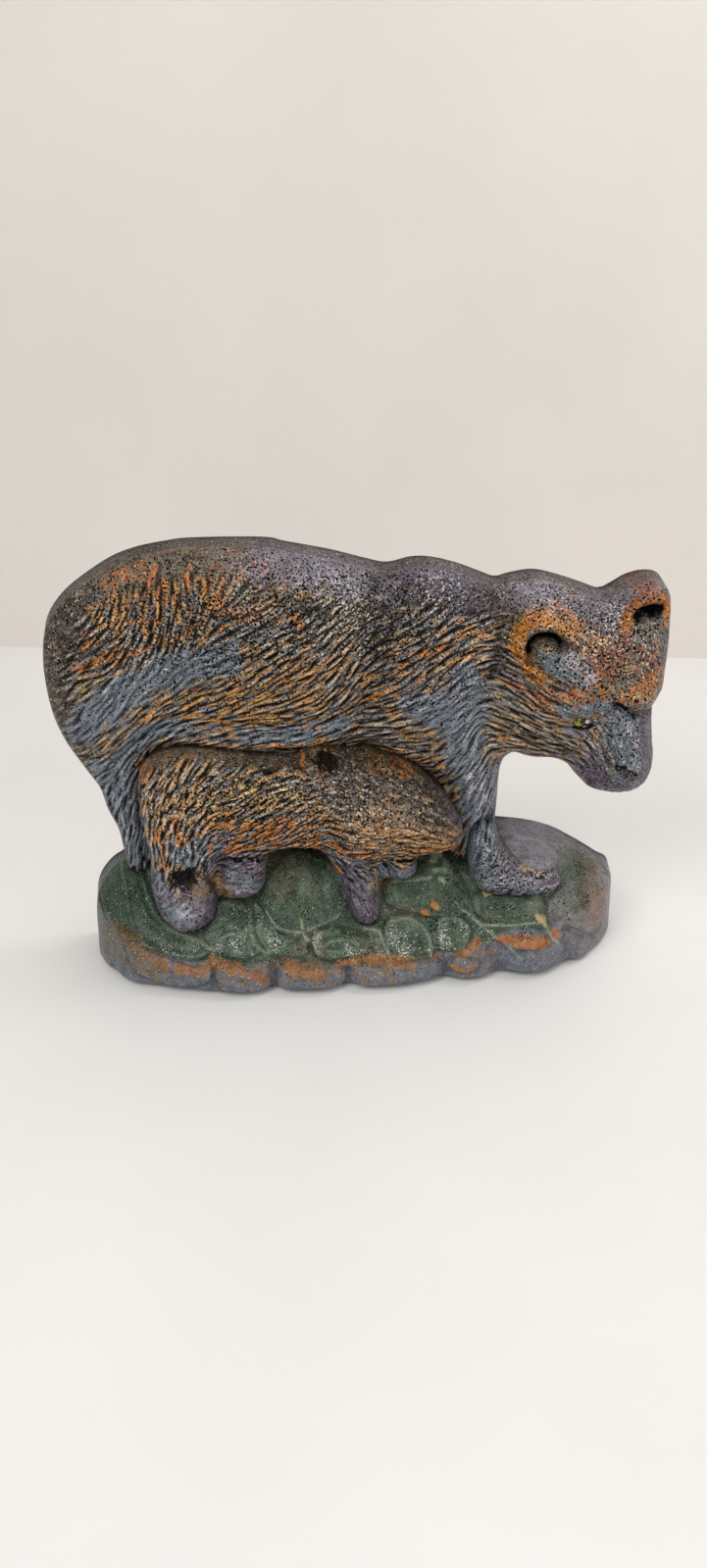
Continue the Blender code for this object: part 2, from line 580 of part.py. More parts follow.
def back_screw(name, place, parts, cutters, shader):
    """A slotted countersunk screw: a turned profile with the slot cut across its head."""
    head_z = 0.3
    head_depth = SCREW_HEAD_RADIUS - SCREW_SHANK_RADIUS
    profile = [(0, 0), (SCREW_HEAD_RADIUS, 0), (SCREW_HEAD_RADIUS, -head_z),
               (SCREW_SHANK_RADIUS, -head_z - head_depth), (SCREW_SHANK_RADIUS, 1 - SCREW_LENGTH),
               (SCREW_SHANK_RADIUS - 0.8, -SCREW_LENGTH), (0, -SCREW_LENGTH)]
    mesh = bpy.data.meshes.new(name)
    edges = [(i, i + 1) for i in range(len(profile) - 1)]
    mesh.from_pydata([(r * MM, 0, z * MM) for r, z in profile], edges, [])
    screw = bpy.data.objects.new(name, mesh)
    parts.objects.link(screw)
    turn = screw.modifiers.new("turned", "SCREW")
    turn.axis = "Z"
    turn.steps = turn.render_steps = 20
    turn.use_merge_vertices = True
    turn.merge_threshold = 0.00001
    screw.rotation_euler = (-math.pi / 2, 0, 0)
    outside = PARTING_Y + JOINT_GAP + PLATE_THICKNESS - HOLE_CLEARANCE
    screw.location = (place[0] * MM, outside * MM, place[1] * MM)
    bpy.ops.mesh.primitive_cube_add(size=1, location=(place[0] * MM, outside * MM, place[1] * MM))
    slot = bpy.context.object
    slot.name = "slot_cutter"
    slot.scale = (4 * SCREW_HEAD_RADIUS * MM, 2 * SCREW_SLOT_DEPTH * MM, SCREW_SLOT_WIDTH * MM)
    for owner in slot.users_collection:
        owner.objects.unlink(slot)
    cutters.objects.link(slot)
    combine(screw, slot, "DIFFERENCE")
    finish(screw, shader)


def locating_pin(name, place, parts, shader):
    near = -(JOINT_GAP + PIN_IN_PLATE)
    pin = rod(name, place, near, near + PIN_LENGTH, PIN_RADIUS, parts)
    finish(pin, shader)


def rubber_foot(name, place, parts, shader):
    bpy.ops.mesh.primitive_cylinder_add(
        vertices=28, radius=FOOT_RADIUS * MM, depth=FOOT_THICKNESS * MM,
        location=(place[0] * MM, (PARTING_Y - place[1]) * MM, FOOT_THICKNESS / 2 * MM))
    foot = bpy.context.object
    foot.name = name
    for owner in foot.users_collection:
        owner.objects.unlink(foot)
    parts.objects.link(foot)
    finish(foot, shader)


def main():
    for obj in list(bpy.data.objects):
        bpy.data.objects.remove(obj)
    parts = collection("bear_doorstop")
    cutters = collection("cutters")
    painted_iron = material("painted_iron", (0.14, 0.12, 0.11), 0.6, 0.0)
    plate_iron = material("plate_iron", (0.05, 0.05, 0.05), 0.65, 0.3)
    screw_steel = material("screw_steel", (0.25, 0.24, 0.22), 0.45, 0.9)
    rubber = material("black_rubber", (0.03, 0.03, 0.03), 0.8, 0.0)

    front_casting(parts, cutters, painted_iron)
    back_plate(parts, plate_iron)
    for number, place in enumerate(SCREW_PLACES, start=1):
        back_screw(f"back_screw_{number}", place, parts, cutters, screw_steel)
    for number, place in enumerate(PIN_PLACES, start=1):
        locating_pin(f"locating_pin_{number}", place, parts, screw_steel)
    for number, place in enumerate(FOOT_PLACES, start=1):
        rubber_foot(f"rubber_foot_{number}", place, parts, rubber)


main()
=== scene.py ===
"""Cast iron doorstop: a mother bear and her cub on a leafy, rocky mound, hand painted and worn.

The relief is worked out in millimetres: x to the right, z up from the floor and depth
forwards from the parting plane, where the front casting meets the flat back plate.
"""
import math

import bpy
import numpy as np
from bpy.props import FloatProperty, FloatVectorProperty, IntProperty, PointerProperty
from bpy.types import Operator, Panel, PropertyGroup
from mathutils.geometry import delaunay_2d_cdt
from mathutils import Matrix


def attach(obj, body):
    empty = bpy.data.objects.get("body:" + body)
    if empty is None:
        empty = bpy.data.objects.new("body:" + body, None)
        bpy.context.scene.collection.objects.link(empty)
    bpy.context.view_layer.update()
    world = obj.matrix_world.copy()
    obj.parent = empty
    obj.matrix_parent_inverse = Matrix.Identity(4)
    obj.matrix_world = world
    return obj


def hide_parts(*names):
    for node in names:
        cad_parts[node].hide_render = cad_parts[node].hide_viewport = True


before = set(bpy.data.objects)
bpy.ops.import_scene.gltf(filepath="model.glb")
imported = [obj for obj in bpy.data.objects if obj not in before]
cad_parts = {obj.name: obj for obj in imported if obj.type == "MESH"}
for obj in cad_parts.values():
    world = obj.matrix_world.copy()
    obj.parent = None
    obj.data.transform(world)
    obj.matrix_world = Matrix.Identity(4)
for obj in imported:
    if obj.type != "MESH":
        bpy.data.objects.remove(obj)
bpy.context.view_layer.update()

bl_info = {
    "name": "Bear doorstop",
    "version": (1, 0, 0),
    "blender": (4, 5, 0),
    "location": "View3D > Sidebar > Doorstop",
    "description": "Builds a painted cast iron doorstop with a bear and her cub",
    "category": "Add Mesh",
}

# The relief's sizes below are in millimetres
MM = 0.001
# Where the parting plane lies in the frame, and the underside of the casting on its feet
PARTING_Y = 26.5
BASE_Z = 1.5
# How far the face is drawn in from the rim, so that the casting leaves its mould
DRAFT = 1.6
# The height up to which a form's wall changes its share of the depth
WALL_HEIGHT = 80.0
# The furthest that stones and leaves stand forward
FRONT_LIMIT = 58.8
# Spacing of the grids for the forms, the fur's direction and the fur, and the step along a strand
FORM_PITCH, FLOW_PITCH, COMB_PITCH, FLOW_STEP = 1.0, 2.0, 0.36, 0.7
# Paint flecks read z less this share of the depth, so that they keep their size on steep sides
DEPTH_SHARE = 0.8
# How far inside a face's edge its rings of points run
RING_INSETS = (0.08, 0.28)
# Where another form hides the face, one row and column in this many stays
HIDDEN_THINNING = 10
# The lattice's rows over its columns, and the angle from which an edge is drawn sharp
ROW_SHARE = 0.866
SHARP_DEGREES = 75
# Random numbers along a side of the noise's lattice, and a shift that keeps its places positive
NOISE_CELLS = 128
NOISE_SHIFT = (640.37, 640.71)
# Points on a span of a smooth line before it is cut into equal steps
SPAN_POINTS = 16
# Points whose distances are worked out together, to spare memory
BATCH = 4000


def read_points(text):
    """Points written as x,z with spaces between them."""
    return [tuple(float(number) for number in pair.split(",")) for pair in text.split()]


def read_rows(text):
    """Rows of names and numbers, one on a line, and last a row's points where it has them.

    A line that starts with a space goes on with the row above it.
    """
    rows = []
    for line in text.strip().replace("\n ", " ").splitlines():
        words = line.split()
        row = [word if word.isidentifier() else float(word) for word in words if "," not in word]
        pairs = [word for word in words if "," in word]
        rows.append((*row, read_points(" ".join(pairs))) if pairs else tuple(row))
    return rows


# The mother's edge, from her hind foot over the back and the head to her front foot
BACK_LINE = read_points("""
-111.5,52 -113.5,65 -117.5,76 -120,87 -126,98 -133,111 -137.2,124 -138.8,138 -138.7,151
-136.4,163.5 -131,172.5 -122.5,180.5 -108,190 -97,194.5 -84,197.2 -71,198.6 -41,198.4 -31,196.4
-12,192.6 3,188.6 13,186.6 24,188.8 33,188.4 44,185.6 54,181.8 61,179.4 68,181 78,182.2 88,180
100,176 108,173.2 113,175 120,179.2 128,181 134.5,179.5 138.2,173.5 139,164 139,152 138.5,141
138,132 134.5,125.5 134.3,119 136,108 138,98 137,89 132.5,83 124,78.8 115,78.5 107,80.5 102,86
97,91.5 90,95 82,95.5 76,97 71,99 67.8,97 66.5,91 66.2,83 65.8,71 65.5,61
""")
UNDER_THE_GROUND = read_points("64,34 40,27 -80,26 -106,28")

# The mound's edge, from its left foot up behind the animals' legs and down to its right foot
BASE_LEFT = [(-124.5, BASE_Z)] + read_points(
    "-126.8,4 -127.2,14 -126.6,26 -125,34 -121,41 -114.5,47")
BEHIND_THE_LEGS = read_points("-105,50 -80,53 -40,55 0,56 40,57.5")
BASE_RIGHT = read_points("""
69,59.5 77,58.5 87,56.5 96,53.5 103,49.5 111,44.5 119,39 124,36 126.3,30 127,21 127.4,12 127,4
""") + [(124.5, BASE_Z)]
BASE_BOTTOM = [(x, BASE_Z) for x in (100, 50, 0, -50, -100)]

# The cub's edge, from its rump over the back, the head and the chin to its feet
CUB_LINE = read_points("""
-101.5,92 -98.5,103 -87,109.5 -73,110.5 -51,107 -33,105 -25,108 -17,109 -10,106.5 -3,104 13,104.5
23,101 32,94 39,86 45,78 49,70 48,62 40,56.5 29,54.5 28,46 23,41 14,41 10,40 10.5,32 8,25.5 0,24
-6,27 -9,36 -13,46 -17,55 -26,58 -38,58 -42,52 -43.5,42 -50,36 -60,36 -64,36 -66,29 -74,25 -86,26
-95,33 -98.5,45 -98,58 -99.5,70 -101,82
""")
# The edge of the mother's near front paw
PAW_LINE = read_points("""
52,84 62,82 65,67 68,58 76,53 86,51.5 93,48.5 96,42.5 93,36.5 84,33.5 68,33 56,35.5 50,43 49,60
50,74
""")

# The base in plan, as x and depth: the scallops along the rocky front, and the slope's foot
BASE_FRONT = read_points("""
-127.2,5 -126.5,12 -125,20 -120.5,30 -116,35 -111,42.5 -105,46.5 -97,48.5 -86,52 -69,56 -55,58
-48,56.5 -42,53.5 -36,56.5 -19,57.5 -8,53.5 0,56.5 15,56.5 29,53.5 37,50.5 46,54 55,53 63,48 72,50
80,51 88,48.5 97,42 105,40 112,32.5 118,26 123,18 126,11 127.4,5
""")
SLOPE_FRONT = read_points("""
-127.2,4 -124,17 -118,29 -105,41 -85,48 -50,53 -10,53.5 25,52 55,49 80,46 100,37 114,26 123,14
127.4,4
""")
# Height of the edge between the leafy slope and the rocky front, along x
FRONT_EDGE = read_points("""
-128,36 -116,30 -104,24 -90,20 -69,17 -30,14 15,14 40,17 60,20 80,22 100,27 112,32 128,33
""")

# Swellings: x, z, half width, half height, turn in degrees, rise
MOTHER_LEVEL = 17.0
MOTHER_FORMS = read_rows("""
-100 150 40 40 0 8
-50 158 50 34 0 9
-20 150 35 36 0 5
-110 110 22 34 0 4
30 150 28 40 0 12
46 108 17 32 10 10
58 72 12 26 0 9
96 148 38 34 0 13
82 118 24 18 0 6
130 140 16 34 0 7
93 137 16 9 -10 2
119 102 17 28 8 15
126 94 10 12 0 4
""")
# The face and the ears, finer than the casting's main shapes
FACE_FORMS = read_rows("""
81.5 152 6.5 6 -20 3.4
82 169 12 6 0 1.8
123 175.5 11 6 0 2.4
88 127 14 5 -8 2.2
103 129.5 9 3.6 10 2.6
122 132 10 4.6 -14 4.4
98.8 119.6 7.5 4.2 8 -4
110 121.5 4 8 -34 -2.6
86 112 14 12 -20 2.5
119 112 9 15 6 3.2
121 89 11 5 0 1.8
119 102 7 4.5 0 1.8
114.8 99.6 2.4 1.5 25 -2.4
107 96 8 7 30 -1.4
124.8 168.6 7.2 2.9 10 -6.5
100 148 13 12 0 1.6
84 141 10 4 -30 -1.4
132.6 163 2.2 1.9 0 2.4
""")
# Creases and ridges: rise, half width and the line that each follows
MOTHER_LINES = read_rows("""
-5.5 5.5 61,186 62.6,172 63.2,160 62,150 60,144
-3.2 5.5 58,138 56,132 55,124 57,108
-4.5 8 11,186 7,172 4,155 2,137 0,118 3,104
-2.5 5 -112,92 -104,108 -92,116 -78,119 -60,117 -35,116 -8,121 6,125
4.4 3 77.4,141.5 72.6,145.5 69.6,150 68.8,155.5 70.6,160.8 75.3,164.2 81,164.8 86.5,162.6 91,158
-8.5 1.9 73.4,150.5 73.4,154.6 75.8,158 80.2,159.3 84.6,158.4 87.8,155
4 2.2 113.4,162 116,168 121,173.4 127.6,175.2 132.8,173 134,167
1.6 1.3 119,164.6 124.5,164.8 130.5,165.4
-3.6 1.7 111,130 115.5,127 121,125.4 128,124.4 134,126.5
-1.3 1 119.2,99.8 121,98.6 122.6,97
1.5 1 92.6,120.4 95.8,122.9 100.4,123 104.4,120.6
1 1 93.2,118.6 96.5,116.6 100.4,116.2 104.2,118.6
""")
# The hollow under the belly: its depth, the legs that it runs between, and how it fades there
BELLY_RECESS = 9.0
BELLY_SPAN = (-104, 46)
BELLY_FADE, BELLY_SLOPE = 12, 10
BELLY_LINE = read_points("-112,96 -98,112 -80,113 -55,108 -30,107 -5,112 10,108 40,95")

CUB_LEVEL = 30.0
CUB_FORMS = read_rows("""
-78 84 26 28 0 12
-42 84 30 24 0 10
-84 58 18 24 0 9
8 82 26 22 -20 14
36 68 14 14 0 9
-4 64 14 22 -15 10
-81 32 16 12 0 17
2 32 12 14 0 17
-54 44 14 12 0 7
20 47 10 8 0 3
-17 103 11 9 0 4.5
-98.3 102 3.2 3 0 3
-16.2 103.4 5.6 3.6 0 -4.5
-80.8 54.6 6.4 3.6 42 -5
-74 45 5 5 0 2
22 90 12 7 -25 1.8
20 73 12 6 0 1.6
""")
CUB_LINES = read_rows("""
-4 5.5 -12,98 -16,86 -15,72 -19,60
-5.5 3.4 -64,62 -66,50 -66,36
-4.5 4 10,56 11,48 11,38
2.4 2.2 -24.5,98 -25.4,104 -20.5,108.6 -14.2,108.8 -9,104.6 -9,99
-1.8 1.3 22,67.5 30,64.5 38,61 44,58.6
-1.6 1.3 9,88 12.5,89.6 16,88.4
-2.2 1.5 -45,60 -30,62 -20,62
-1.8 1.5 45,63.5 47.5,61.5
-1.5 1.1 -90,36 -87,30 -86,27
-1.5 1.1 -82,34 -79,29 -78,26
-1.4 1.1 -54,44 -50,40 -47,37
-1.3 1 -1,34 0,29 0,25
-1.3 1 4,33 5,29 6,26
""")

# Between these heights the paw sinks to the leg's level
PAW_LEVEL, LEG_LEVEL = 36.0, 23.0
PAW_SINKS = (58, 82)
PAW_FORMS = read_rows("""
60 50 14 16 0 3
82 42 16 10 0 5
""")
# The grooves between the claws
PAW_LINES = read_rows("""
-2 1.1 90,34 90.6,37 91.4,40
-2.2 1.2 83,33 83.6,37 85,41
-2.2 1.2 75.5,33 76,37 77.4,41
-2 1.2 67.5,33 68,37 69,40.5
-1.8 1.1 60,34 60.4,37 61,40
""")
# The share of its height that the rocky front leans back, and the slope's upper end and curve
FRONT_LEAN, SLOPE_BACK, SLOPE_POWER = 0.06, 6.0, 0.85
# Where the bank behind the paw stays bright, where it gets no painted shade, and the bank's own
# form
BANK_BRIGHT = [(84, 55, 20, 9, 0, 1)]
BANK_UNSHADED = [(84, 53, 20, 8, 0, 1)]
MOUND_FORMS = read_rows("""
82 52 17 8 -8 11
84 48.5 15 7.5 -8 8
""")

# Which way the fur runs: x, z and the angle in degrees above the horizontal
MOTHER_GUIDES = read_rows("""
-96 178 86
-82 172 80
-69 184 88
-118 163 50
-128 145 25
-109 155 25
-89 159 58
-56 163 30
-34 172 25
-74 141 28
-113 131 55
-122 116 40
-91 118 45
-52 136 22
-30 146 33
-16 126 42
-12 163 35
10 179 40
1 146 42
23 159 30
32 136 45
41 116 50
23 107 15
49 155 12
49 98 66
54 75 74
-74 114 12
-38 112 4
-12 114 14
-108 88 70
-106 66 86
-127 106 28
69 137 -34
82 128 -38
65 118 -20
82 109 -12
99 106 -30
99 138 -38
114 108 -76
122 138 -80
107 164 -45
82 178 -8
60 143 -6
90 101 -14
106 92 -55
125 90 -80
""")
CUB_GUIDES = read_rows("""
-99 84 88
-93 71 80
-82 99 50
-82 84 62
-72 104 30
-57 98 14
-57 82 24
-48 70 24
-30 97 10
-30 82 28
-21 67 20
-8 73 2
6 70 -2
28 64 -4
-10 55 -62
-86 58 80
19 96 -28
36 84 -48
4 40 -62
-82 40 20
-54 44 -10
""")
PAW_GUIDES = read_rows("""
57 76 76
58 60 70
70 48 20
86 44 -8
""")

# Where the fur lies quiet, and where the casting is coarse with sand, as swellings
MOTHER_CALM = read_rows("""
104 158 24 22 0 1.1
122 108 13 24 0 0.8
80 164 14 13 0 1
82 152 8 8 0 0.8
124 172 16 14 0 1
104 130 16 9 0 0.7
122 140 16 18 0 0.8
-20 180 70 10 0 0.7
-70 152 18 8 20 0.35
98.8 119.6 9 6 0 0.8
112 92 14 9 0 0.8
54 78 12 30 0 0.35
-94 141 26 8 30 0.5
-110 112 9 14 0 0.3
36 122 14 16 0 0.35
""")
MOTHER_GRIT = read_rows("""
-85 168 50 26 0 0.4
-20 168 50 22 0 0.5
30 165 36 24 0 0.3
104 156 32 24 0 0.5
-110 122 24 20 0 -0.15
-50 115 50 8 0 -0.1
50 105 18 30 0 -0.1
116 112 12 20 0 0.3
-20 132 60 16 0 0.1
-108 70 14 26 0 -0.15
56 70 14 24 0 -0.1
""")
CUB_CALM = read_rows("""
12 90 26 16 0 1
-17 104 10 8 0 0.9
-73 50 7 7 0 1
40 74 10 14 0 0.5
-82 34 18 13 0 1
-54 42 13 11 0 1
2 32 10 13 0 0.9
20 46 12 7 0 1
""")
CUB_GRIT = read_rows("""
-60 94 40 14 0 0.45
-10 90 26 20 0 0.35
20 84 24 16 0 0.15
-60 72 40 16 0 0.15
-80 36 20 12 0 -0.15
-54 44 14 10 0 -0.1
4 34 12 16 0 -0.05
""")
PAW_CALM = read_rows("""
82 42 16 10 0 0.8
60 46 16 14 0 0.7
""")
PAW_GRIT = read_rows("70 50 30 20 0 0.3")

# The crease behind the near ear, where the body's mesh and the head's meet
NECK_SEAM = read_points("61,179.4 62.6,172 63.2,160 62,150 59,142 56,135 55,124 57,108 68.5,97.5")

# The eye in millimetres, and its painted spots: colour, place along and across, squeeze, radii
EYE_PLACE = (98.6, 119.8)
EYE_HALF_LENGTH, EYE_HALF_HEIGHT, EYE_TILT = 5.2, 2.3, 6
EYE_PROUD, EYE_RISE, EYE_SINK = 0.2, 1.5, 1.5
EYE_POINTS, EYE_RINGS = 48, 16
EYE_COLOURS = {"lid": "#15110f", "iris": "#a8a83a", "pupil": "#090808", "light": "#f2f1ec"}
# The light spot is a painted highlight on the eye
EYE_SPOTS = read_rows("""
iris -1.5 0 1.1 2.3 1.8
pupil -0.2 0 1 1.3 0.9
light 2.3 0.3 1.2 1.3 0.9
""")

# Hollows painted dark as shade: name, half width, strength and line
MOTHER_HOLLOWS = read_rows("""
dirt 1.1 0.85 73.4,151.5 73.5,154.8 75.9,158 80.2,159.4 84.4,158.4 86.8,156
dirt 2.8 1 120.5,167.6 124.8,168.9 129.4,169.2
dirt 1.5 0.6 113.4,129.6 116.8,127.1 119.6,124.7
dirt 0.8 0.8 94.5,117.8 97.5,117 101,117.2 103,118.6
dirt 1.2 1 114.3,101 116.5,101.4
dirt 1 0.8 119.2,99.8 121,98.6 122.6,97
""")
CUB_HOLLOWS = read_rows("""
dirt 1.5 0.6 -60,62 -50,60 -40,58.5 -26,59.5 -18,58
dirt 1.6 0.4 10,57 11,50 11,42
dirt 1.5 0.6 14,57 26,56.5 38,57.5
dirt 1.4 0.7 45,63.5 47.4,61.8
""")
# The cub's open ear and the hollow above its heel, painted dark as shade: x, depth, z, radius and
# strength
CUB_PITS = read_rows("""
-16.6 28 102.2 7.8 0.985
-80.5 42 55 6.4 0.92
""")

# Paint: colour name, half width of the brush stroke, strength and the line that it follows
# The fur_dark strokes in the creases behind the ear and behind the shoulder are painted shade
MOTHER_PAINT = read_rows("""
purple 9 0.75 -42,195 -28,193 0,185 12,182 30,184 52,178
fur_mid 7 0.5 -124,176 -108,187 -84,195 -50,197
purple 9 0.65 70,180 84,179 100,172 108,169
plum 10 0.8 14,184 30,182 50,176
fur_dark 6 0.5 16,179 36,178 54,170
lilac 6 0.4 -42,188 -20,184 -6,180
lilac 3 0.3 26,184 42,180
fur_dark 5 0.55 61,176 63,168 63.5,160 62.5,151 60,144
rust 9 0.3 -90,190 -60,190 -36,186
fur_dark 12 0.6 -130,112 -134,132 -132,152 -122,170
fur_dark 10 0.5 -112,180 -92,185 -70,187
fur_dark 12 0.55 -116,158 -96,168 -78,176
fur_dark 8 0.4 -60,180 -40,176 -20,170
fur_dark 8 0.45 8,180 6,160 2,140 4,124
slate 8.5 1.25 -121,122 -112,131 -94,143 -74,150 -58,153
slate 5 1.25 -110,100 -101,112 -90,119 -76,119 -52,114 -28,115 -8,118
slate 9 1.3 -113,98 -108,85 -106,68 -104,52
slate 10 1.25 24,130 36,126 46,118 48,104 54,86 57,70 58,52
slate 7 0.7 44,142 51,134 52,122
lilac 5 0.3 49,102 54,86 58,66
slate 4 0.8 83,148 90,143 96,138
slate 3 0.6 78.5,153 83.5,153.5
earth 6 0.45 103,112 104,102
slate 9 0.85 117,122 117,112 119,100 120,88
purple 5 0.7 106,104 109,92 118,84
lilac 3 0.4 118,121 120,110 121,100
plum 5 0.9 127,121 129,106 130,92
orange 1.4 1.4 -122,148.4 -113,151.8 -107.2,156 -101.4,159.2
orange 1.1 1.4 -106.2,151.4 -102.2,155 -94.7,157.2 -89.6,158.9
orange 1 1.2 -79.6,161.2 -75.4,164 -69.5,166.8 -64.5,169.5
orange 1.1 1.4 -88.7,165.4 -87,169.4 -85.5,173.3 -84.6,178.5 -83.5,182.2 -81.7,186
orange 1.2 1.4 -88.3,183 -86.6,188.2 -85.6,191.4
orange 1.2 1.3 -72.9,183.5 -72.4,187.3 -71.4,191.3
orange 1.1 1.3 -102.3,166.9 -97.6,169 -92.2,171.2
orange 1 1.2 -110.5,167.1 -105.5,168 -101.3,169.7
orange 1 1.2 -68,174.2 -65.1,175.4 -62.2,176.2
orange 3.4 0.45 -106,185 -98.1,187.4 -90,189
orange 2.2 0.7 -116.4,166.9 -115,162.9 -117,158.6
orange 9 0.5 -100,172 -84,172 -64,178
orange 6 0.4 -62,168 -45,172 -30,168
orange 10 0.45 -56,130 -30,138 -8,146
orange 6 0.35 20,150 30,156 42,160
orange 3 0.45 -4,130 12,134 26,142
ochre 16 0.6 -60,128 -34,134 -10,138
ochre 10 0.5 -108,168 -90,172 -70,176
earth 9 0.4 60,124 76,112 92,104
ochre 9 0.4 66,112 82,104 94,100
ochre 6 0.4 12,112 26,108
amber 2.9 0.95 77,142.5 71.5,147 68,154 68.5,162 73,167
orange 4 0.55 74,168 81,170 88,168 93,160
amber 2.2 0.9 78,166.6 84,166 89.5,162.6
rust 8 0.55 95,134 100,142 106,150
fur_dark 4 0.4 66,118 80,110 92,104
orange 5 0.5 98,138 104,146 110,152
lilac 4.5 0.6 90,150 95,147 99,142
slate 3.4 0.8 88,127 96,127 104,128.5 113,129
lilac 6 0.3 66,177 84,175 94,170
rust 9 0.5 98,174 101,163 106,148
orange 7 0.3 92,166 99,160 103,150
plum 6 0.45 96,172 104,168 110,160
rust 7 0.55 114,152 124,148 132,142
fur_dark 7 0.45 114,136 124,142 134,138
orange 5 0.5 116,134 124,138 132,140
orange 4 0.5 84,134 95,135 105,136
orange 2.6 0.95 113.5,162.5 116.5,168.5 121.5,173.6 127,175.6 133,173 133.6,166
rust 3 0.7 121,178 128,178.5
amber 2 1.1 132.6,163 132.8,162.6
rust 1.3 1 120.5,125.8 125,127.2 131,129.5
cream 0.7 0.7 128,129.4 131.5,130.8
purple 2.2 0.9 103,119.7 106.1,120.5 108,122.5
purple 1.6 0.8 91.5,117 95,115.4 100,114.8
plum 7 0.6 104,94 112,88 120,86
fur_dark 2.4 0.6 115.5,99.5 119.5,97.5 123,96
rust 5 0.4 70,140 82,132 94,124
""")
# The fur_dark strokes along the top of the cub's head, along the crease above its legs, between its
# hind feet and above its near hind foot are painted shade, and the lilac strokes on its hind feet
# are painted highlights
CUB_PAINT = read_rows("""
ochre 14 0.5 -92,84 -60,84 -30,78 -10,74
ochre 8 0.7 0,72 20,69 40,66
slate 7 1.1 -84,71 -76,69 -66,74
fur_dark 4 0.8 -60,63 -48,61 -36,60 -22,61
fur_dark 1.5 1.2 -71,64 -70.5,54 -68,45 -67,36
orange 12 0.42 -60,76 -40,74 -20,68
gold 4 0.3 -70,92 -48,96 -30,94
purple 8 1.1 -96,54 -93,44 -84,36 -72,34
plum 8 0.6 -92,48 -84,40 -74,36
slate 5 0.6 -94,52 -90,42 -80,38
lilac 2.4 0.45 -82,41 -77,40 -73,40
purple 10 1.2 -62,60 -54,52 -48,42
plum 8 0.6 -62,58 -54,50 -48,42
slate 5 0.6 -58,52 -48,44
lilac 2.4 0.4 -56,46 -50,43
fur_dark 7 0.7 -10,66 -2,64
slate 9 1.1 -9,58 -6,50 -2,42
purple 8 1.1 0,38 3,30
plum 7 0.65 -6,54 -3,44 1,31
plum 5 0.7 12,52 20,47 26,44
purple 5 0.9 -82,54 -78,49 -72,44
fur_dark 5 0.5 -84,52 -78,49 -71,47
earth 2.6 0.7 -77.5,50.5 -75,49.3 -72,48
slate 5 1 12,50 20,47 27,47
orange 2.6 0.7 -90,78 -88,68 -90,62
orange 2.5 0.9 -82,84 -80,76
orange 4 0.7 -58,68 -46,74 -34,82
orange 3 0.6 -50,68 -36,72
orange 3 0.7 -14,68 -6,66 0,68
orange 3 0.8 -22,60 -16,56 -12,53
orange 2 0.75 14.6,101 17.8,100.2 22,99
orange 1.4 0.7 -3.3,94.1 -1.6,93.8
orange 1.4 1 6.9,84.1 6.8,78.9
orange 0.9 0.9 -25.7,107 -25.9,104.9 -25.3,101
amber 2.4 0.6 2,103 5.3,102.2 9,101.3
earth 8 0.5 -10,92 8,92 26,84
rust 10 0.3 0,98 16,94 30,84
ochre 7 0.3 6,90 20,86 34,76
fur_dark 9 0.5 -4,97 14,97 28,90 38,78
orange 2.4 1 -98.6,102.5 -98.2,102
orange 4 0.5 24,62 34,60
purple 4 0.5 38,84 44,76 47,66
""")
# The cream stroke along the paw is a painted highlight
PAW_PAINT = read_rows("""
slate 12 1.4 57,76 57,60 62,48 80,40
purple 7 1 66,56 76,50 92,46
cream 0.9 1.1 75,50.2 79,49.6 84,48.6
""")

# Leaves and stones on the mound: kind, rise, gloss and the closed line of each
LEAVES = read_rows("""
leaf 2.2 0.2 -123,36 -119.5,43 -113,46.5 -110.5,42 -107.5,31 -103.5,25 -110,25 -117,30.5
leaf 2.6 0.4 -111.5,47 -104,48 -100.5,42 -97,35.5 -93,31 -87.6,27.8 -76,24 -70,20 -80,18.5
 -96,21.5 -102.6,25.5 -106.3,31 -109,42
leaf 2.6 0.6 -74,32 -75.5,25 -69,20.5 -58,18 -47,19 -51,25 -52,33 -62,36
leaf 2.2 0.7 -50,36 -45,33 -41,28 -37,25.5 -29,24.5 -26.5,18.5 -36,17 -44,19 -49.3,25
leaf 1.1 0.2 -47,37 -40,46 -28,51 -14,47 -6,37 -10,30 -20,26.6 -30,24 -38,26 -43,31
leaf 2.6 1 -23,24 -11.5,25.2 -2,23.5 4,20 -1,16.6 -12,15.8 -22,17.2
leaf 2.6 0.8 10,25 13.8,28 22,28 29,24 31,18.5 29.5,15 13,15.5 10.5,20
leaf 2.2 0.9 35,27 43,28.5 49.5,25 48,20 40.5,17 35,18
leaf 4.5 0.2 35.5,53 25,47 13.2,41.5 11,34.5 19,30.8 38,28.6 47,29.5 50,36 43.5,46
leaf 3 0.3 52,34 58,37 66,39 80,37 86,31 82,26.5 67,26.2 56,27.6
stone 2.4 0.2 61.5,21.8 70,24.2 80,23.6 85,19.5 79.5,15.6 69,16
stone 2.2 0.2 38.5,9.4 45.4,14.2 53.5,10.4 46,6.3
stone 1.7 0.1 88,31 95,37 104,41 113,37 119,37 122.5,29 123.5,18 116,12 105,15 95,21 88,24
leaf 1.8 0.4 2,25 7.6,24.8 9.4,20.8 12,15 6,17
stone 2.6 0.1 -107,22 -94,18.5 -78,14 -70,15.5 -72,8 -84,4 -98,6 -107,11
stone 2.4 0.1 -67,16 -55,14.5 -46,10 -43,4 -56,3 -67,6
stone 2.2 0.1 -40,12.5 -33,14.5 -24,13 -10,11 -10,4 -26,3 -39,4
stone 2.2 0.1 -6.5,11.5 8,13 24,12.5 35,10.5 36,4 14,3 -5,4
stone 2 0.1 64,14 76,13.5 90,15.5 95,10 86,4 70,3.5 64,7
""")
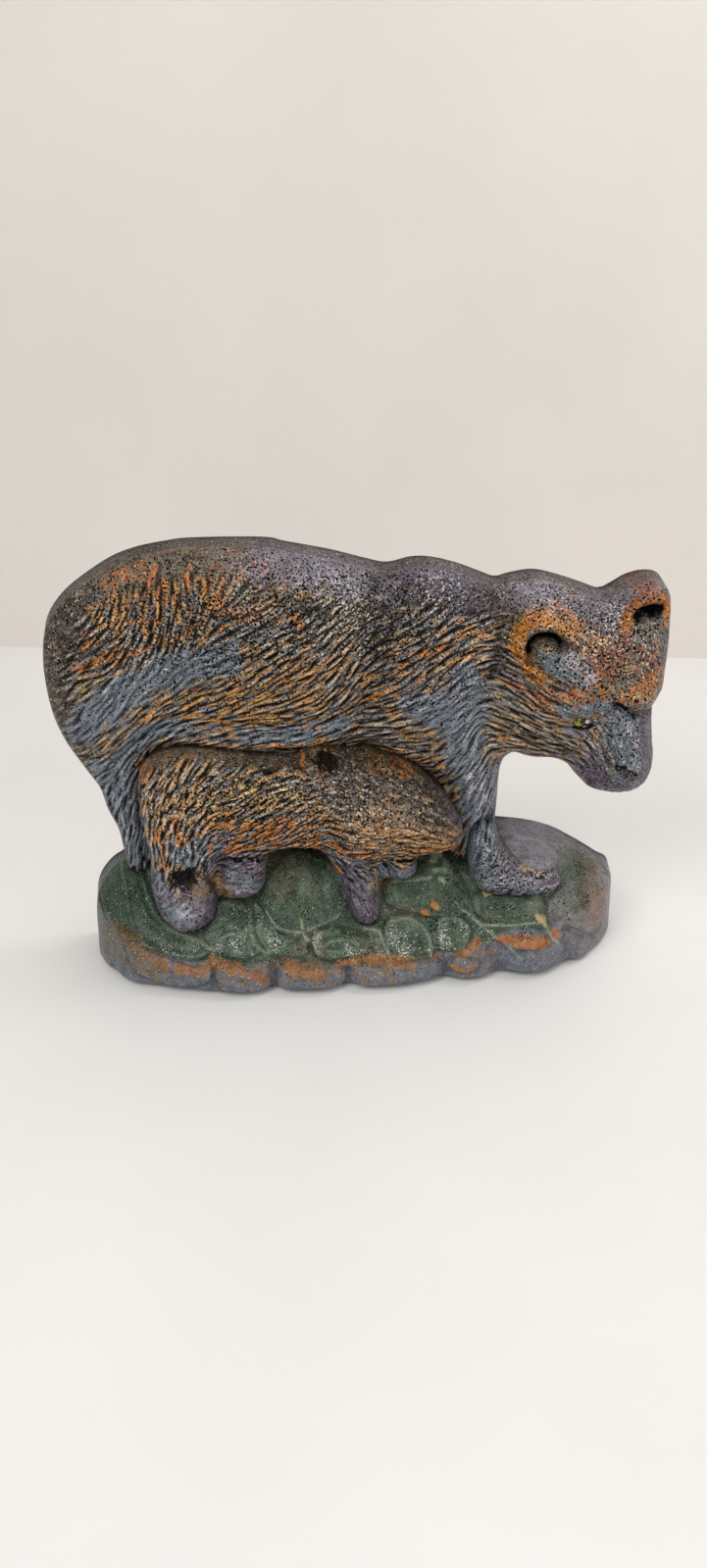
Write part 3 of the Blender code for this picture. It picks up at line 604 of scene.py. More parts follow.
# Veins, rims and the grooves between the stones: rise, half width, paleness and line
MOUND_LINES = read_rows("""
1.1 0.63 0.96 -113.2,47 -110.1,41.5 -106.9,30.8 -102.9,25 -96.3,21.4
0.9 0.63 0.6 -124,38 -117,30 -110.9,24.6 -105.8,22.8
1.2 0.7 0.84 -100.7,41.3 -96.8,34.8 -93.1,30.7 -87.6,27.6 -75.9,23.8 -68.7,19.8
1 0.56 0.84 -66.5,24 -63,26 -58.5,26.2 -54.4,24.2
1 0.56 0.72 -51.5,33 -51.1,28.9 -50.8,25.1 -47.3,20 -43.8,18.6
1 0.56 0.96 -44.2,32.5 -42,29.6 -39.9,27.3 -35,26 -28,25.2
1.5 0.84 1 -28.4,29.5 -27.3,24.3 -25.4,22
0.8 0.49 0.6 -19,20.6 -14,22.4 -7,22.4 -2.6,20.6
0.8 0.49 0.6 -17,19 -10,18.4 -4,19.2
1.5 0.84 1 0.8,25.3 6.6,25.2 8.9,21.2 11.9,15.6
1.2 0.63 0.72 13.5,28.4 22,28.4 29.6,24 31.4,18.3 30.1,14.4
1 0.63 0.84 13,41.8 24,42.6 33,43.5
1.3 0.77 1 45.5,32.6 53.9,26.3 60.7,21.8 68,15.6 73.6,11
1 0.63 1 54.8,25.8 68.5,25.2 82.6,25.4
1.8 1.12 1 81.7,27.5 84.3,26 86.2,22.8 88,19.5
1 0.77 0.96 86,23 89.5,18.5 92.2,14.5
-1.6 1 0 94,22.6 99,19.5 106,15 113.4,7
-1.4 0.8 0 -25.2,23 -24.9,19.1 -22.4,15.5
0.9 0.7 0.6 117.5,40 115.9,36 115.3,31
-1.3 1.6 0 -111.5,2 -109.5,9 -104,19
-1.3 1.5 0 -69,2 -68.6,9 -69.4,18
-1.3 1.5 0 -42,2 -41.6,8 -42.5,13.5
-1.3 1.5 0 -8.4,2 -8.2,8 -8.6,14
-1.3 1.7 0 37.4,2 37,9 34,16
-1.3 1.6 0 62.6,2 61.6,9 57,18
-1.3 1.7 0 97.5,2 98,9 96,17
1.4 1.12 0.36 27.5,31.4 29.2,30.1 30.6,29.6
1.8 1.19 0.36 32.4,34.6 33.6,33.4 35.2,32.8
""")
# Brush strokes on the mound, as on the fur
MOUND_PAINT = read_rows("""
purple 9 1.1 64,60 80,57 92,50 98,46
earth 7 0.5 100,46 108,40 112,34
leaf 6 0.6 96,44 104,40 108,34
earth 8 0.5 -120,20 -112,18 -100,14 -90,12
earth 6 0.45 -62,12 -40,11 -10,10 20,10 44,12 66,14 92,16
clay 2.6 0.85 -114,28 -110,25.4 -104.5,23.6
clay 2.8 0.85 -102,19.5 -94,16.6 -86,14 -77,13 -70,16
clay 2.2 0.8 -66,15.8 -54.6,14 -46,9
clay 2.4 0.85 -36,14.6 -27,12.2 -19,11
clay 2 0.8 -12,13.4 4,15 20,14 34,12.4
orange 2.8 1 64,20 73,19.4 83,18.2
slate 5 0.5 64,9 78,9 92,9
clay 1.9 0.9 41,9 46,8.2 51,9.6
clay 1.9 0.9 42,15 48,17 53,20.4
orange 1.5 0.9 28.2,31 30.2,30.4
orange 1.6 0.5 10.5,45 11,40
amber 1.5 0.8 32.8,34.2 34.4,33
orange 1.8 0.6 88,22 91,19
orange 1.6 0.7 76,39.5 76.5,37
rust 2.4 0.5 9,47 11,44
cream 1.2 0.8 58,36.5 62,37.4
cream 1.6 0.9 81.4,27.4 84.6,25.8
leaf_pale 5 0.5 28,52 36,50 40,46
""")
# Soft tints on the mound: colour name and a swelling that gives the strength
# The lilac on the bank behind the paw is its paint laid on lighter, as painted light
MOUND_TINTS = read_rows("""
dun 106 27 14 14 0 0.4
leaf 101 36 8 12 20 0.45
rust 114 23 7 13 10 0.55
lilac 123 26 3.5 16 0 0.6
lilac 84 55 20 9 0 0.45
leaf_dark -106 34 28 18 0 0.8
leaf 103 43 7 5 -30 0.5
""")

# Paint colours as they look in plain light, in sRGB
COLOURS = {
    "fur_dark": "#3b3027", "fur_mid": "#6c5c4a", "fur_light": "#a8916a", "ochre": "#a67945",
    "orange": "#b06a28", "amber": "#bb792c", "rust": "#86503a", "slate": "#6b727b",
    "purple": "#766e78", "plum": "#5c5260", "lilac": "#a59ea7", "gold": "#c3aa72",
    "leaf": "#3b503a", "leaf_pale": "#8f9c86", "leaf_dark": "#223a28", "cream": "#c9af7e",
    "stone": "#666a72", "earth": "#7d6a57", "clay": "#9c6836", "dun": "#94816f",
    "crevice": "#0f0c0a", "glint": "#dcd6cb",
}


def linear(text):
    """An sRGB hex colour as linear red, green and blue."""
    parts = [int(text[i:i + 2], 16) / 255 for i in (1, 3, 5)]
    return tuple(c / 12.92 if c <= 0.04045 else ((c + 0.055) / 1.055) ** 2.4 for c in parts)


def smooth_line(points, step, closed):
    """Points at equal steps along the Catmull-Rom curve through the given points."""
    p = np.array(points, dtype=float)
    if closed:
        p = np.vstack([p[-1], p, p[0], p[1]])
    else:
        p = np.vstack([2 * p[0] - p[1], p, 2 * p[-1] - p[-2]])
    t = np.linspace(0, 1, SPAN_POINTS, endpoint=False)[:, None]
    a, b, c, d = (p[i:len(p) - 3 + i, None, :] for i in range(4))
    fine = 0.5 * (2 * b + (c - a) * t + (2 * a - 5 * b + 4 * c - d) * t ** 2
                  + (3 * b - a - 3 * c + d) * t ** 3)
    fine = np.vstack([fine.reshape(-1, 2), p[-2]])
    along = np.concatenate([[0], np.cumsum(np.hypot(*np.diff(fine, axis=0).T))])
    count = max(3, round(along[-1] / step)) + (not closed)
    at = np.linspace(0, along[-1], count, endpoint=not closed)
    return np.column_stack([np.interp(at, along, fine[:, 0]), np.interp(at, along, fine[:, 1])])


def outward(loop):
    """Unit normals of a closed loop that runs clockwise in the x, z view."""
    along = np.roll(loop, -1, axis=0) - np.roll(loop, 1, axis=0)
    along /= np.linalg.norm(along, axis=1)[:, None]
    return np.column_stack([-along[:, 1], along[:, 0]])


def signed_distance(loop, x, z):
    """Distance from each point to a closed loop: positive inside it, by the crossing rule."""
    start, end = loop, np.roll(loop, -1, axis=0)
    run = end - start
    flat_x, flat_z = np.ravel(x), np.ravel(z)
    result = np.empty(len(flat_x))
    for first in range(0, len(flat_x), BATCH):
        batch = slice(first, first + BATCH)
        px, pz = flat_x[batch, None], flat_z[batch, None]
        dx, dz = px - start[:, 0], pz - start[:, 1]
        share = np.clip((dx * run[:, 0] + dz * run[:, 1]) / (run ** 2).sum(1), 0, 1)
        gap = np.hypot(dx - share * run[:, 0], dz - share * run[:, 1]).min(1)
        spans = (start[:, 1] > pz) != (end[:, 1] > pz)
        rise = np.where(run[:, 1] == 0, 1, run[:, 1])
        hits = spans & (px < start[:, 0] + dz * run[:, 0] / rise)
        result[batch] = np.where(hits.sum(1) % 2 == 1, gap, -gap)
    return result.reshape(np.shape(x))


def line_distance(points, x, z):
    """Distance from each point to an open smooth line, measured to its segments."""
    line = smooth_line(points, 2.5, closed=False)
    start, run = line[:-1], np.diff(line, axis=0)
    best = np.full(np.shape(x), np.inf)
    for (sx, sz), (rx, rz) in zip(start, run):
        share = np.clip(((x - sx) * rx + (z - sz) * rz) / (rx * rx + rz * rz), 0, 1)
        best = np.minimum(best, np.hypot(x - sx - share * rx, z - sz - share * rz))
    return best


def near_line(points, half, x, z):
    """Distances to the line for the points close to it, with the numbers of those points."""
    line = np.array(points)
    reach = 3.2 * half
    near = np.flatnonzero((x > line[:, 0].min() - reach) & (x < line[:, 0].max() + reach)
                          & (z > line[:, 1].min() - reach) & (z < line[:, 1].max() + reach))
    return near, line_distance(points, x[near], z[near])


def blend_cells(table, i, j, next_i, next_j, a, b):
    """Four neighbouring numbers of a table, blended by the share a along its rows and b across."""
    return (table[j, i] * (1 - a) * (1 - b) + table[j, next_i] * a * (1 - b)
            + table[next_j, i] * (1 - a) * b + table[next_j, next_i] * a * b)


class Raster:
    """A field of numbers on a square grid over x and z, read back by blending four cells."""

    def __init__(self, low, high, pitch):
        self.low, self.pitch = low, pitch
        columns = int((high[0] - low[0]) / pitch) + 3
        rows = int((high[1] - low[1]) / pitch) + 3
        self.x, self.z = np.meshgrid(low[0] + np.arange(columns) * pitch,
                                     low[1] + np.arange(rows) * pitch)
        self.values = np.zeros(self.x.shape)

    def at(self, x, z):
        """The field at the points, with its edge cells beyond its edge."""
        u = np.clip((x - self.low[0]) / self.pitch, 0, self.values.shape[1] - 1.001)
        v = np.clip((z - self.low[1]) / self.pitch, 0, self.values.shape[0] - 1.001)
        i, j = u.astype(int), v.astype(int)
        return blend_cells(self.values, i, j, i + 1, j + 1, u - i, v - j)


def value_noise(x, z, size, seed):
    """Random numbers on a square lattice of the given size, blended by a smooth step."""
    table = np.random.default_rng(seed).random((NOISE_CELLS, NOISE_CELLS))
    u, v = x / size + NOISE_SHIFT[0], z / size + NOISE_SHIFT[1]
    i, j = np.floor(u).astype(int), np.floor(v).astype(int)
    a, b = u - i, v - j
    a, b = a * a * (3 - 2 * a), b * b * (3 - 2 * b)
    return blend_cells(table, *(number % NOISE_CELLS for number in (i, j, i + 1, j + 1)), a, b)


def clouds(x, z, size, seed):
    """Three octaves of value noise, between 0 and 1."""
    return (value_noise(x, z, size, seed) * 4 + value_noise(x, z, size / 2, seed + 1) * 2
            + value_noise(x, z, size / 4, seed + 2)) / 7


def step(low, high, value):
    """Smooth step from 0 at low to 1 at high."""
    t = np.clip((value - low) / (high - low), 0, 1)
    return t * t * (3 - 2 * t)


def swell(x, z, forms):
    """Sum of rounded swellings, each the bell curve of an ellipse's own radius."""
    total = np.zeros(np.shape(x))
    for cx, cz, half_x, half_z, turn, rise in forms:
        c, s = math.cos(math.radians(turn)), math.sin(math.radians(turn))
        u = ((x - cx) * c + (z - cz) * s) / half_x
        v = (-(x - cx) * s + (z - cz) * c) / half_z
        total += rise * np.exp(-(u ** 2 + v ** 2))
    return total


def ridges(x, z, lines):
    """Sum of ridges and valleys, each a bell curve across its line."""
    total = np.zeros(len(x))
    for rise, half, line in lines:
        near, gap = near_line(line, half, x, z)
        total[near] += rise * np.exp(-(gap / half) ** 2)
    return total


def along_base(points, x):
    """The second number of a smooth open line, read by its first."""
    line = smooth_line(points, 1.0, closed=False)
    return np.interp(x, line[:, 0], line[:, 1])


def mother_depth(x, z):
    """Her level with the swellings, creases and face, less the hollow under her belly."""
    line = smooth_line(BELLY_LINE, 3.0, closed=False)
    below = np.clip((np.interp(x, line[:, 0], line[:, 1]) - z) / BELLY_SLOPE, 0, 1)
    between_legs = (np.clip((x - BELLY_SPAN[0]) / BELLY_FADE, 0, 1)
                    * np.clip((BELLY_SPAN[1] - x) / BELLY_FADE, 0, 1))
    return (MOTHER_LEVEL + swell(x, z, MOTHER_FORMS) + swell(x, z, FACE_FORMS)
            + ridges(x, z, MOTHER_LINES) - BELLY_RECESS * below * between_legs)


def cub_depth(x, z):
    """Its level with the swellings and creases."""
    return CUB_LEVEL + swell(x, z, CUB_FORMS) + ridges(x, z, CUB_LINES)


def paw_depth(x, z):
    """The paw's own level at the foot, sinking into the leg above it."""
    into_leg = step(*PAW_SINKS, z)
    foot = PAW_LEVEL + swell(x, z, PAW_FORMS) + ridges(x, z, PAW_LINES)
    return foot * (1 - into_leg) + LEG_LEVEL * into_leg


def ground_depth(x, z):
    """The rocky front's scalloped plan, and above its edge a slope back to the rim."""
    front = along_base(BASE_FRONT, x) - FRONT_LEAN * z
    edge = along_base(FRONT_EDGE, x)
    top = along_base(BASE_LEFT[3:] + BEHIND_THE_LEGS + BASE_RIGHT[:10], x)
    share = np.clip((z - edge) / np.maximum(top - edge, 4), 0, 1)
    foot = along_base(SLOPE_FRONT, x)
    back = np.minimum(SLOPE_BACK, foot)
    slope = back + (foot - back) * (1 - share) ** SLOPE_POWER
    above = np.clip((z - edge + 1.5) / 4, 0, 1)
    return front + (slope - front) * above ** 2 * (3 - 2 * above) + swell(x, z, MOUND_FORMS)


# Each form: its closed line, depth, edge radius and the wall's share of the depth, low and high
FORMS = {
    "mother": (BACK_LINE + UNDER_THE_GROUND, mother_depth, 13.0, (0.68, 0.62)),
    "ground": (BASE_LEFT + BEHIND_THE_LEGS + BASE_RIGHT + BASE_BOTTOM, ground_depth, 3.5,
               (0.9, 0.8)),
    "cub": (CUB_LINE, cub_depth, 8.0, (0.86, 0.60)),
    "paw": (PAW_LINE, paw_depth, 7.0, (0.86, 0.60)),
}


def rim_of(points, spacing):
    """A form's closed line on the parting plane, cut flat where it stands."""
    loop = smooth_line(points, spacing, closed=True)
    loop[:, 1] = np.maximum(loop[:, 1], BASE_Z)
    return loop


def face_of(rim):
    """The rim drawn in by the draft that lets the casting leave its mould."""
    share = np.clip((rim[:, 1] - BASE_Z - 1) / 8, 0, 1)
    return rim - outward(rim) * (DRAFT * share)[:, None]


def rounded(depth, z, inside, radius, walls):
    """Depth with its edge turned over: a quarter ellipse between the wall and the face."""
    share = np.clip(inside / radius, 0, 1)
    low, high = walls
    wall = low + (high - low) * np.clip(z / WALL_HEIGHT, 0, 1)
    return depth * (wall + (1 - wall) * np.sqrt(1 - (1 - share) ** 2))


def distance_raster(points):
    """A form's inside distance on the forms' grid."""
    loop = face_of(rim_of(points, 1.2))
    raster = Raster(loop.min(0) - 3, loop.max(0) + 3, FORM_PITCH)
    raster.values = signed_distance(loop, raster.x, raster.z)
    return raster


INSIDE = {name: distance_raster(form[0]) for name, form in FORMS.items()}


def smooth_surface(name, x, z):
    """A form's depth before fur and leaves, and 0 outside its line."""
    _, depth, radius, walls = FORMS[name]
    inside = INSIDE[name].at(x, z)
    surface = rounded(depth(x, z), z, np.maximum(inside, 0), radius, walls)
    return np.where(inside > 0, surface, 0)


def surface_raster(name):
    """A form's depth before fur and leaves, on the forms' grid over the whole relief."""
    raster = Raster((-140, 0), (141, 201), FORM_PITCH)
    surface = smooth_surface(name, raster.x.ravel(), raster.z.ravel())
    raster.values = surface.reshape(raster.x.shape)
    return raster


SURFACE = {name: surface_raster(name) for name in FORMS}


def flow_rasters(guides, low, high, reach, seed):
    """The fur's direction as cosine and sine of twice its angle.

    The guides' directions are blended by bell curves and swayed a little by noise.
    """
    across, up = Raster(low, high, FLOW_PITCH), Raster(low, high, FLOW_PITCH)
    weights = 1e-9
    for gx, gz, degrees in guides:
        weight = np.exp(-((across.x - gx) ** 2 + (across.z - gz) ** 2) / reach ** 2) + 1e-7
        across.values = across.values + weight * math.cos(2 * math.radians(degrees))
        up.values = up.values + weight * math.sin(2 * math.radians(degrees))
        weights = weights + weight
    sway = 2 * 0.75 * (clouds(across.x, across.z, 10.0, seed) - 0.5)
    turned_across = across.values * np.cos(sway) - up.values * np.sin(sway)
    up.values = (across.values * np.sin(sway) + up.values * np.cos(sway)) / weights
    across.values = turned_across / weights
    return across, up


def local_mean(values, cells):
    """The mean over a square that reaches this many cells each way, taken twice to fade out."""
    width = 2 * cells + 1
    for axis in (0, 1, 0, 1):
        rows = np.moveaxis(values, axis, 0)
        total = np.cumsum(np.pad(rows, [(cells + 1, cells), (0, 0)], mode="edge"), axis=0)
        values = np.moveaxis((total[width:] - total[:-width]) / width, 0, axis)
    return values


def comb(guides, low, high, length, spacing, reach, seed):
    """Fur as strands: random numbers smeared along the flow, then ranked from 0 to 1.

    A point's number is the mean of the noise along the flow line through it, for one length
    each way, weighted by 1 + cos(pi k / K). What it has above the mean round it is ranked among
    all points, and the rank is the strand's height, so that ridges and grooves bend, join and
    part. A coarser noise gives each strand its tone.
    """
    across, up = flow_rasters(guides, low, high, reach, seed)
    height, tone, fine, broad = (Raster(low, high, COMB_PITCH) for _ in range(4))
    fine.values = (value_noise(fine.x, fine.z, spacing / 2, seed)
                   + 0.5 * value_noise(fine.x, fine.z, spacing / 4, seed + 1))
    broad.values = value_noise(broad.x, broad.z, spacing * 0.7, seed + 2)
    start = np.column_stack([height.x.ravel(), height.z.ravel()])
    sums = [2 * fine.at(*start.T), 2 * broad.at(*start.T)]
    count = int(length / FLOW_STEP)
    for way in (1, -1):
        place, heading = start, None
        for k in range(1, count):
            angle = 0.5 * np.arctan2(up.at(*place.T), across.at(*place.T))
            direction = np.column_stack([np.cos(angle), np.sin(angle)])
            heading = direction * way if heading is None else direction * np.sign(
                (direction * heading).sum(1) + 1e-9)[:, None]
            place = place + heading * FLOW_STEP
            weight = 1 + math.cos(math.pi * k / count)
            sums[0] = sums[0] + weight * fine.at(*place.T)
            sums[1] = sums[1] + weight * broad.at(*place.T)
    sums[0] -= local_mean(sums[0].reshape(height.x.shape), round(spacing / COMB_PITCH)).ravel()
    for raster, total in zip((height, tone), sums):
        rank = np.empty(len(total))
        rank[np.argsort(total)] = np.linspace(0, 1, len(total))
        raster.values = rank.reshape(raster.x.shape)
    return height, tone


def triangles_inside(points, count):
    """Triangles over all points and inside the closed loop that the first of them make."""
    drawn = delaunay_2d_cdt([tuple(p) for p in points], [], [list(range(count))], 1, 1e-6, False)
    corners = np.array(drawn[2])
    loop_only = (corners < count).all(axis=1)
    centres = points[corners[loop_only]].mean(axis=1)
    keep = np.ones(len(corners), bool)
    keep[loop_only] = signed_distance(points[:count], centres[:, 0], centres[:, 1]) > 0
    corners = corners[keep]
    a, b, c = (points[corners[:, i]] for i in range(3))
    turn = (b[:, 0] - a[:, 0]) * (c[:, 1] - a[:, 1]) - (b[:, 1] - a[:, 1]) * (c[:, 0] - a[:, 0])
    corners[turn < 0] = corners[turn < 0][:, ::-1]
    return corners


def lattice(face, pitch, thinning):
    """A triangular lattice over the face, of which every n-th row and column stays.

    thinning gives n for each place, or 0 where no point stays.
    """
    xs = np.arange(face[:, 0].min(), face[:, 0].max(), pitch)
    zs = np.arange(face[:, 1].min(), face[:, 1].max(), pitch * ROW_SHARE)
    column, row = (grid.ravel() for grid in np.meshgrid(np.arange(len(xs)), np.arange(len(zs))))
    x, z = xs[column] + (row % 2) * pitch / 2, zs[row]
    n = thinning(x, z)
    every = np.maximum(n, 1)
    keep = (n > 0) & (column % every == 0) & (row % every == 0)
    return np.column_stack([x, z])[keep]


def make_mesh(name, points, triangles, colours, material):
    """A mesh object from points in millimetres given as x, depth, z, with its paint attributes."""
    mesh = bpy.data.meshes.new(name)
    mesh.vertices.add(len(points))
    metres = np.column_stack([points[:, 0], PARTING_Y - points[:, 1], points[:, 2]]) * MM
    mesh.vertices.foreach_set("co", metres.astype(np.float32).ravel())
    mesh.loops.add(3 * len(triangles))
    mesh.loops.foreach_set("vertex_index", triangles.astype(np.int32).ravel())
    mesh.polygons.add(len(triangles))
    mesh.polygons.foreach_set("loop_start", np.arange(0, 3 * len(triangles), 3, dtype=np.int32))
    mesh.polygons.foreach_set("loop_total", np.full(len(triangles), 3, dtype=np.int32))
    mesh.update(calc_edges=True)
    for key, values in colours.items():
        full = np.ones((len(values), 4), np.float32)
        full[:, :values.shape[1]] = values
        mesh.attributes.new(key, "FLOAT_COLOR", "POINT").data.foreach_set("color", full.ravel())
    mesh.shade_smooth()
    mesh.set_sharp_from_angle(angle=math.radians(SHARP_DEGREES))
    mesh.materials.append(material)
    piece = bpy.data.objects.new(name, mesh)
    bpy.context.scene.collection.objects.link(piece)
    return piece


def outline_of(name, spacing):
    """A form's face loop and rim loop, and which of their points lie on the form's true edge."""
    rim = rim_of(FORMS[name][0], spacing)
    return face_of(rim), rim, np.ones(len(rim), bool)


def cut_outline(name, spacing, seam, head):
    """The part of a form's loops on one side of a seam that runs from edge to edge.

    The seam starts at the top, at the edge point nearest to its first point, and ends at the
    one nearest to its last. Its points are the same in the face and in the rim.
    """
    face, rim, _ = outline_of(name, spacing)
    line = smooth_line(seam, spacing, closed=False)
    first = int(np.hypot(*(face - line[0]).T).argmin())
    last = int(np.hypot(*(face - line[-1]).T).argmin())
    middle = line[INSIDE[name].at(line[:, 0], line[:, 1]) > 0.7]
    if head:
        kept = np.arange(first, last + 1)
        middle = middle[::-1]
    else:
        kept = np.concatenate([np.arange(last, len(face)), np.arange(first + 1)])
    on_edge = np.concatenate([np.ones(len(kept), bool), np.zeros(len(middle), bool)])
    return np.vstack([face[kept], middle]), np.vstack([rim[kept], middle]), on_edge


def relief(name, form, outline, pitch, detail, paint, material, back=0.0, wall_rings=7):
    """A closed relief: a fine front face, the wall round it down to the back, and a flat back.

    The face's depth is the form's rounded depth plus the detail's rise. The wall is a grid of
    rings between the face's edge and the rim on the parting plane.
    """
    depth, radius, walls = FORMS[form][1:]
    face, rim, on_edge = outline
    count = len(face)
    rings = [face - outward(face) * inset for inset in RING_INSETS]
    own = Raster(face.min(0) - 2, face.max(0) + 2, FORM_PITCH)
    own.values = signed_distance(face[::2], own.x, own.z)

    def thinning(x, z):
        within = own.at(x, z) > RING_INSETS[-1] + 0.5 * pitch
        return np.where(within, np.where(shows(form, x, z), 1, HIDDEN_THINNING), 0)

    flat = np.vstack([face, *rings, lattice(face, pitch, thinning)])
    x, z = flat.T
    inside = np.maximum(INSIDE[form].at(x, z), 0)
    for number, inset in enumerate((0.0, *RING_INSETS)):
        ring = slice(number * count, (number + 1) * count)
        inside[ring] = np.where(on_edge, inset, inside[ring])
    rise, marks = detail(x, z, inside)
    deep = rounded(depth(x, z), z, inside, radius, walls) + rise
    corners = [triangles_inside(flat, count)]
    vertices = [np.column_stack([x, deep, z])]
    first, ring_start = 0, len(flat)
    here = np.arange(count)
    following = (here + 1) % count
    for k in range(1, wall_rings + 1):
        t = k / wall_rings
        loop = face + (rim - face) * t
        wall = back + (deep[:count] - back) * (1 - t)
        vertices.append(np.column_stack([loop[:, 0], wall, loop[:, 1]]))
        near, far = first + here, ring_start + here
        corners.append(np.column_stack([near, first + following, ring_start + following]))
        corners.append(np.column_stack([near, ring_start + following, far]))
        first, ring_start = ring_start, ring_start + count
    corners.append(triangles_inside(rim, count)[:, ::-1] + first)
    vertices = np.vstack(vertices)
    extra = len(vertices) - len(flat)
    inside = np.concatenate([inside, np.zeros(extra)])
    on_wall = np.concatenate([np.zeros(len(flat)), np.ones(extra)])
    marks = {key: np.concatenate([value, np.tile(value[:count], wall_rings)])
             for key, value in marks.items()}
    x, depths, z = vertices.T
    colours = paint(x, z, depths, inside, on_wall, marks)
    finish_piece(make_mesh(name, vertices, np.vstack(corners), colours, material))


def finish_piece(piece):
    """Hides the casting that the piece stands for, and lets the piece ride with the object."""
    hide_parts("front_casting")
    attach(piece, "root")


def brush(x, z, depth, strokes, seed, strand=0.0, amount=0.0, fleck=1.3):
    """Each stroke's cover over the points, as a half dry brush leaves it.

    The stroke ends raggedly at its width. Its strength is the share of the surface that it
    covers, in strands where the fur runs and in flecks elsewhere, not how thin it is.
    """
    up = z - DEPTH_SHARE * depth
    ragged = (1.1 * (clouds(x, up, 3.85 * fleck, seed) - 0.5)
              + 0.5 * (value_noise(x, up, 0.85 * fleck, seed + 7) - 0.5))
    missed = 0.5 + 0.9 * (value_noise(x, up, fleck, seed + 8)
                          + 0.3 * value_noise(x, up, 3 * fleck, seed + 6) - 0.65)
    missed = missed + (1 - strand - missed) * 0.75 * amount
    for name, half, strength, line in strokes:
        near, gap = near_line(line, half * 1.6 + 2, x, z)
        edge = step(1.18, 0.7, gap / half + ragged[near])
        yield name, near, edge * step(-0.12, 0.12, strength - missed[near])


def mix(colour, target, cover, near=slice(None)):
    """Moves the points' colour towards the target by the cover, a share for each point."""
    colour[near] += (target - colour[near]) * cover[:, None]


def in_front(name, x, z):
    """The depth of whichever other form stands furthest forward."""
    return np.max([SURFACE[other].at(x, z) for other in FORMS if other != name], axis=0)


def shows(name, x, z):
    """Where a form isn't hidden by the others."""
    return SURFACE[name].at(x, z) > in_front(name, x, z) - 2.5


def contact(name, x, z, depth):
    """How close a surface runs to the forms in front of it: 1 where they meet. It sets the shade
    painted there.

    It is less where the bank meets the paw, which is bright in the photograph.
    """
    gap = np.clip(depth - in_front(name, x, z), -3, 20)
    return np.exp(-(gap / 3.0) ** 2) * (1 - swell(x, z, BANK_UNSHADED))


def fur_paint(name, strokes, hollows, smooth_band, seed, edge_colour="purple", pits=()):
    """A furry form's paint: dark in the grooves, strands brushed over, then strokes, painted
    highlights and painted shade.
    """
    palette = paint_palette(bpy.context)

    def paint(x, z, depth, inside, on_wall, marks):
        height, tone, amount, grit = marks["height"], marks["tone"], marks["amount"], marks["grit"]
        patch = clouds(x, z, 14.0, seed)
        spot = clouds(x, z + 0.7 * depth * on_wall, 2.2, seed + 9)
        lit = clouds(x, z, 22.0, seed + 60)
        # Ridges carry the light colours, and lots draw a colour for each strand
        ridge = height * amount + (0.3 + 0.55 * spot) * (1 - amount)
        lot = tone * amount + (1.6 * spot - 0.3) * (1 - amount) + 0.5 * (patch - 0.5)
        colour = np.tile(palette["fur_dark"], (len(x), 1))
        mix(colour, palette["fur_mid"], step(0.18, 0.5, ridge))
        mix(colour, palette["fur_light"], step(0.45, 0.8, 0.6 * ridge + 0.4 * lot) * 0.8)
        mix(colour, palette["ochre"], step(0.58, 0.8, lot) * step(0.3, 0.55, ridge) * 0.8)
        mix(colour, palette["orange"],
            step(0.82, 0.95, lot) * step(0.35, 0.6, ridge) * (0.25 + 0.5 * amount))
        mix(colour, palette["slate"], step(0.36, 0.18, lot) * 0.55)
        # The smooth band along the edge
        ragged = inside + 9 * (clouds(x, z, 8.0, seed + 3) - 0.5)
        band = step(smooth_band, smooth_band * 0.3, ragged)
        top = step(-75, -40, x)[:, None]
        edging = palette["fur_mid"] * (1 - top) + palette[edge_colour] * top
        mix(colour, edging, 0.8 * band * step(0.25, 0.5, spot))
        for key, near, cover in brush(x, z, depth, strokes, seed + 20, tone, amount):
            if key in ("orange", "ochre", "cream"):
                cover = cover * step(0.22, 0.5, ridge[near])
            mix(colour, palette[key], cover, near)
        mix(colour, palette["fur_dark"], on_wall * (0.35 + 0.5 * patch + 0.25 * (1 - top[:, 0])))
        # Paler tops of the strands, from worn paint and a painted highlight, and painted glints
        # along them where lit
        colour *= 1 + 0.75 * (step(0.62, 0.95, height) * amount * (1 - on_wall))[:, None]
        mix(colour, palette["glint"],
            step(0.84, 1.0, height) * amount * step(0.35, 0.7, lit) * 0.5)
        # Painted shade in the hollows, the pits and the grooves, and where the form meets the next
        # one
        hollow = np.zeros(len(x))
        for _, near, cover in brush(x, z, depth, hollows, seed + 40):
            hollow[near] = np.maximum(hollow[near], cover)
        for pit_x, pit_depth, pit_z, radius, strength in pits:
            gap = np.sqrt((x - pit_x) ** 2 + (depth - pit_depth) ** 2 + (z - pit_z) ** 2) / radius
            flecks = value_noise(x, z - DEPTH_SHARE * depth, 0.7, seed + 50)
            hollow = np.maximum(hollow, strength * step(1.25, 0.75, gap + 0.8 * (flecks - 0.5)))
        groove = step(0.44, 0.16, height) * amount * (1 - on_wall)
        painted_shade = 1 - (1 - groove * 0.95) * (1 - contact(name, x, z, depth) * 0.75) * (1 - hollow)
        # Painted glints as pale points, most on lit ridges where the casting is coarse
        pale = grit * (0.5 + 0.9 * step(0.35, 0.75, lit)) * (0.45 + 0.75 * step(0.4, 0.9, ridge))
        gloss = 0.35 + 0.3 * value_noise(x, z, 9.0, seed + 5)
        return {"paint": np.clip(colour, 0, 1),
                "relief": np.column_stack([painted_shade, grit, gloss, np.clip(pale, 0, 1)])}

    return paint


def set_sockets(node, values):
    """Sets each named socket of a node to a value, or links it to the socket that is given."""
    for name, value in values.items():
        if isinstance(value, bpy.types.NodeSocket):
            node.id_data.links.new(value, node.inputs[name])
        else:
            node.inputs[name].default_value = value


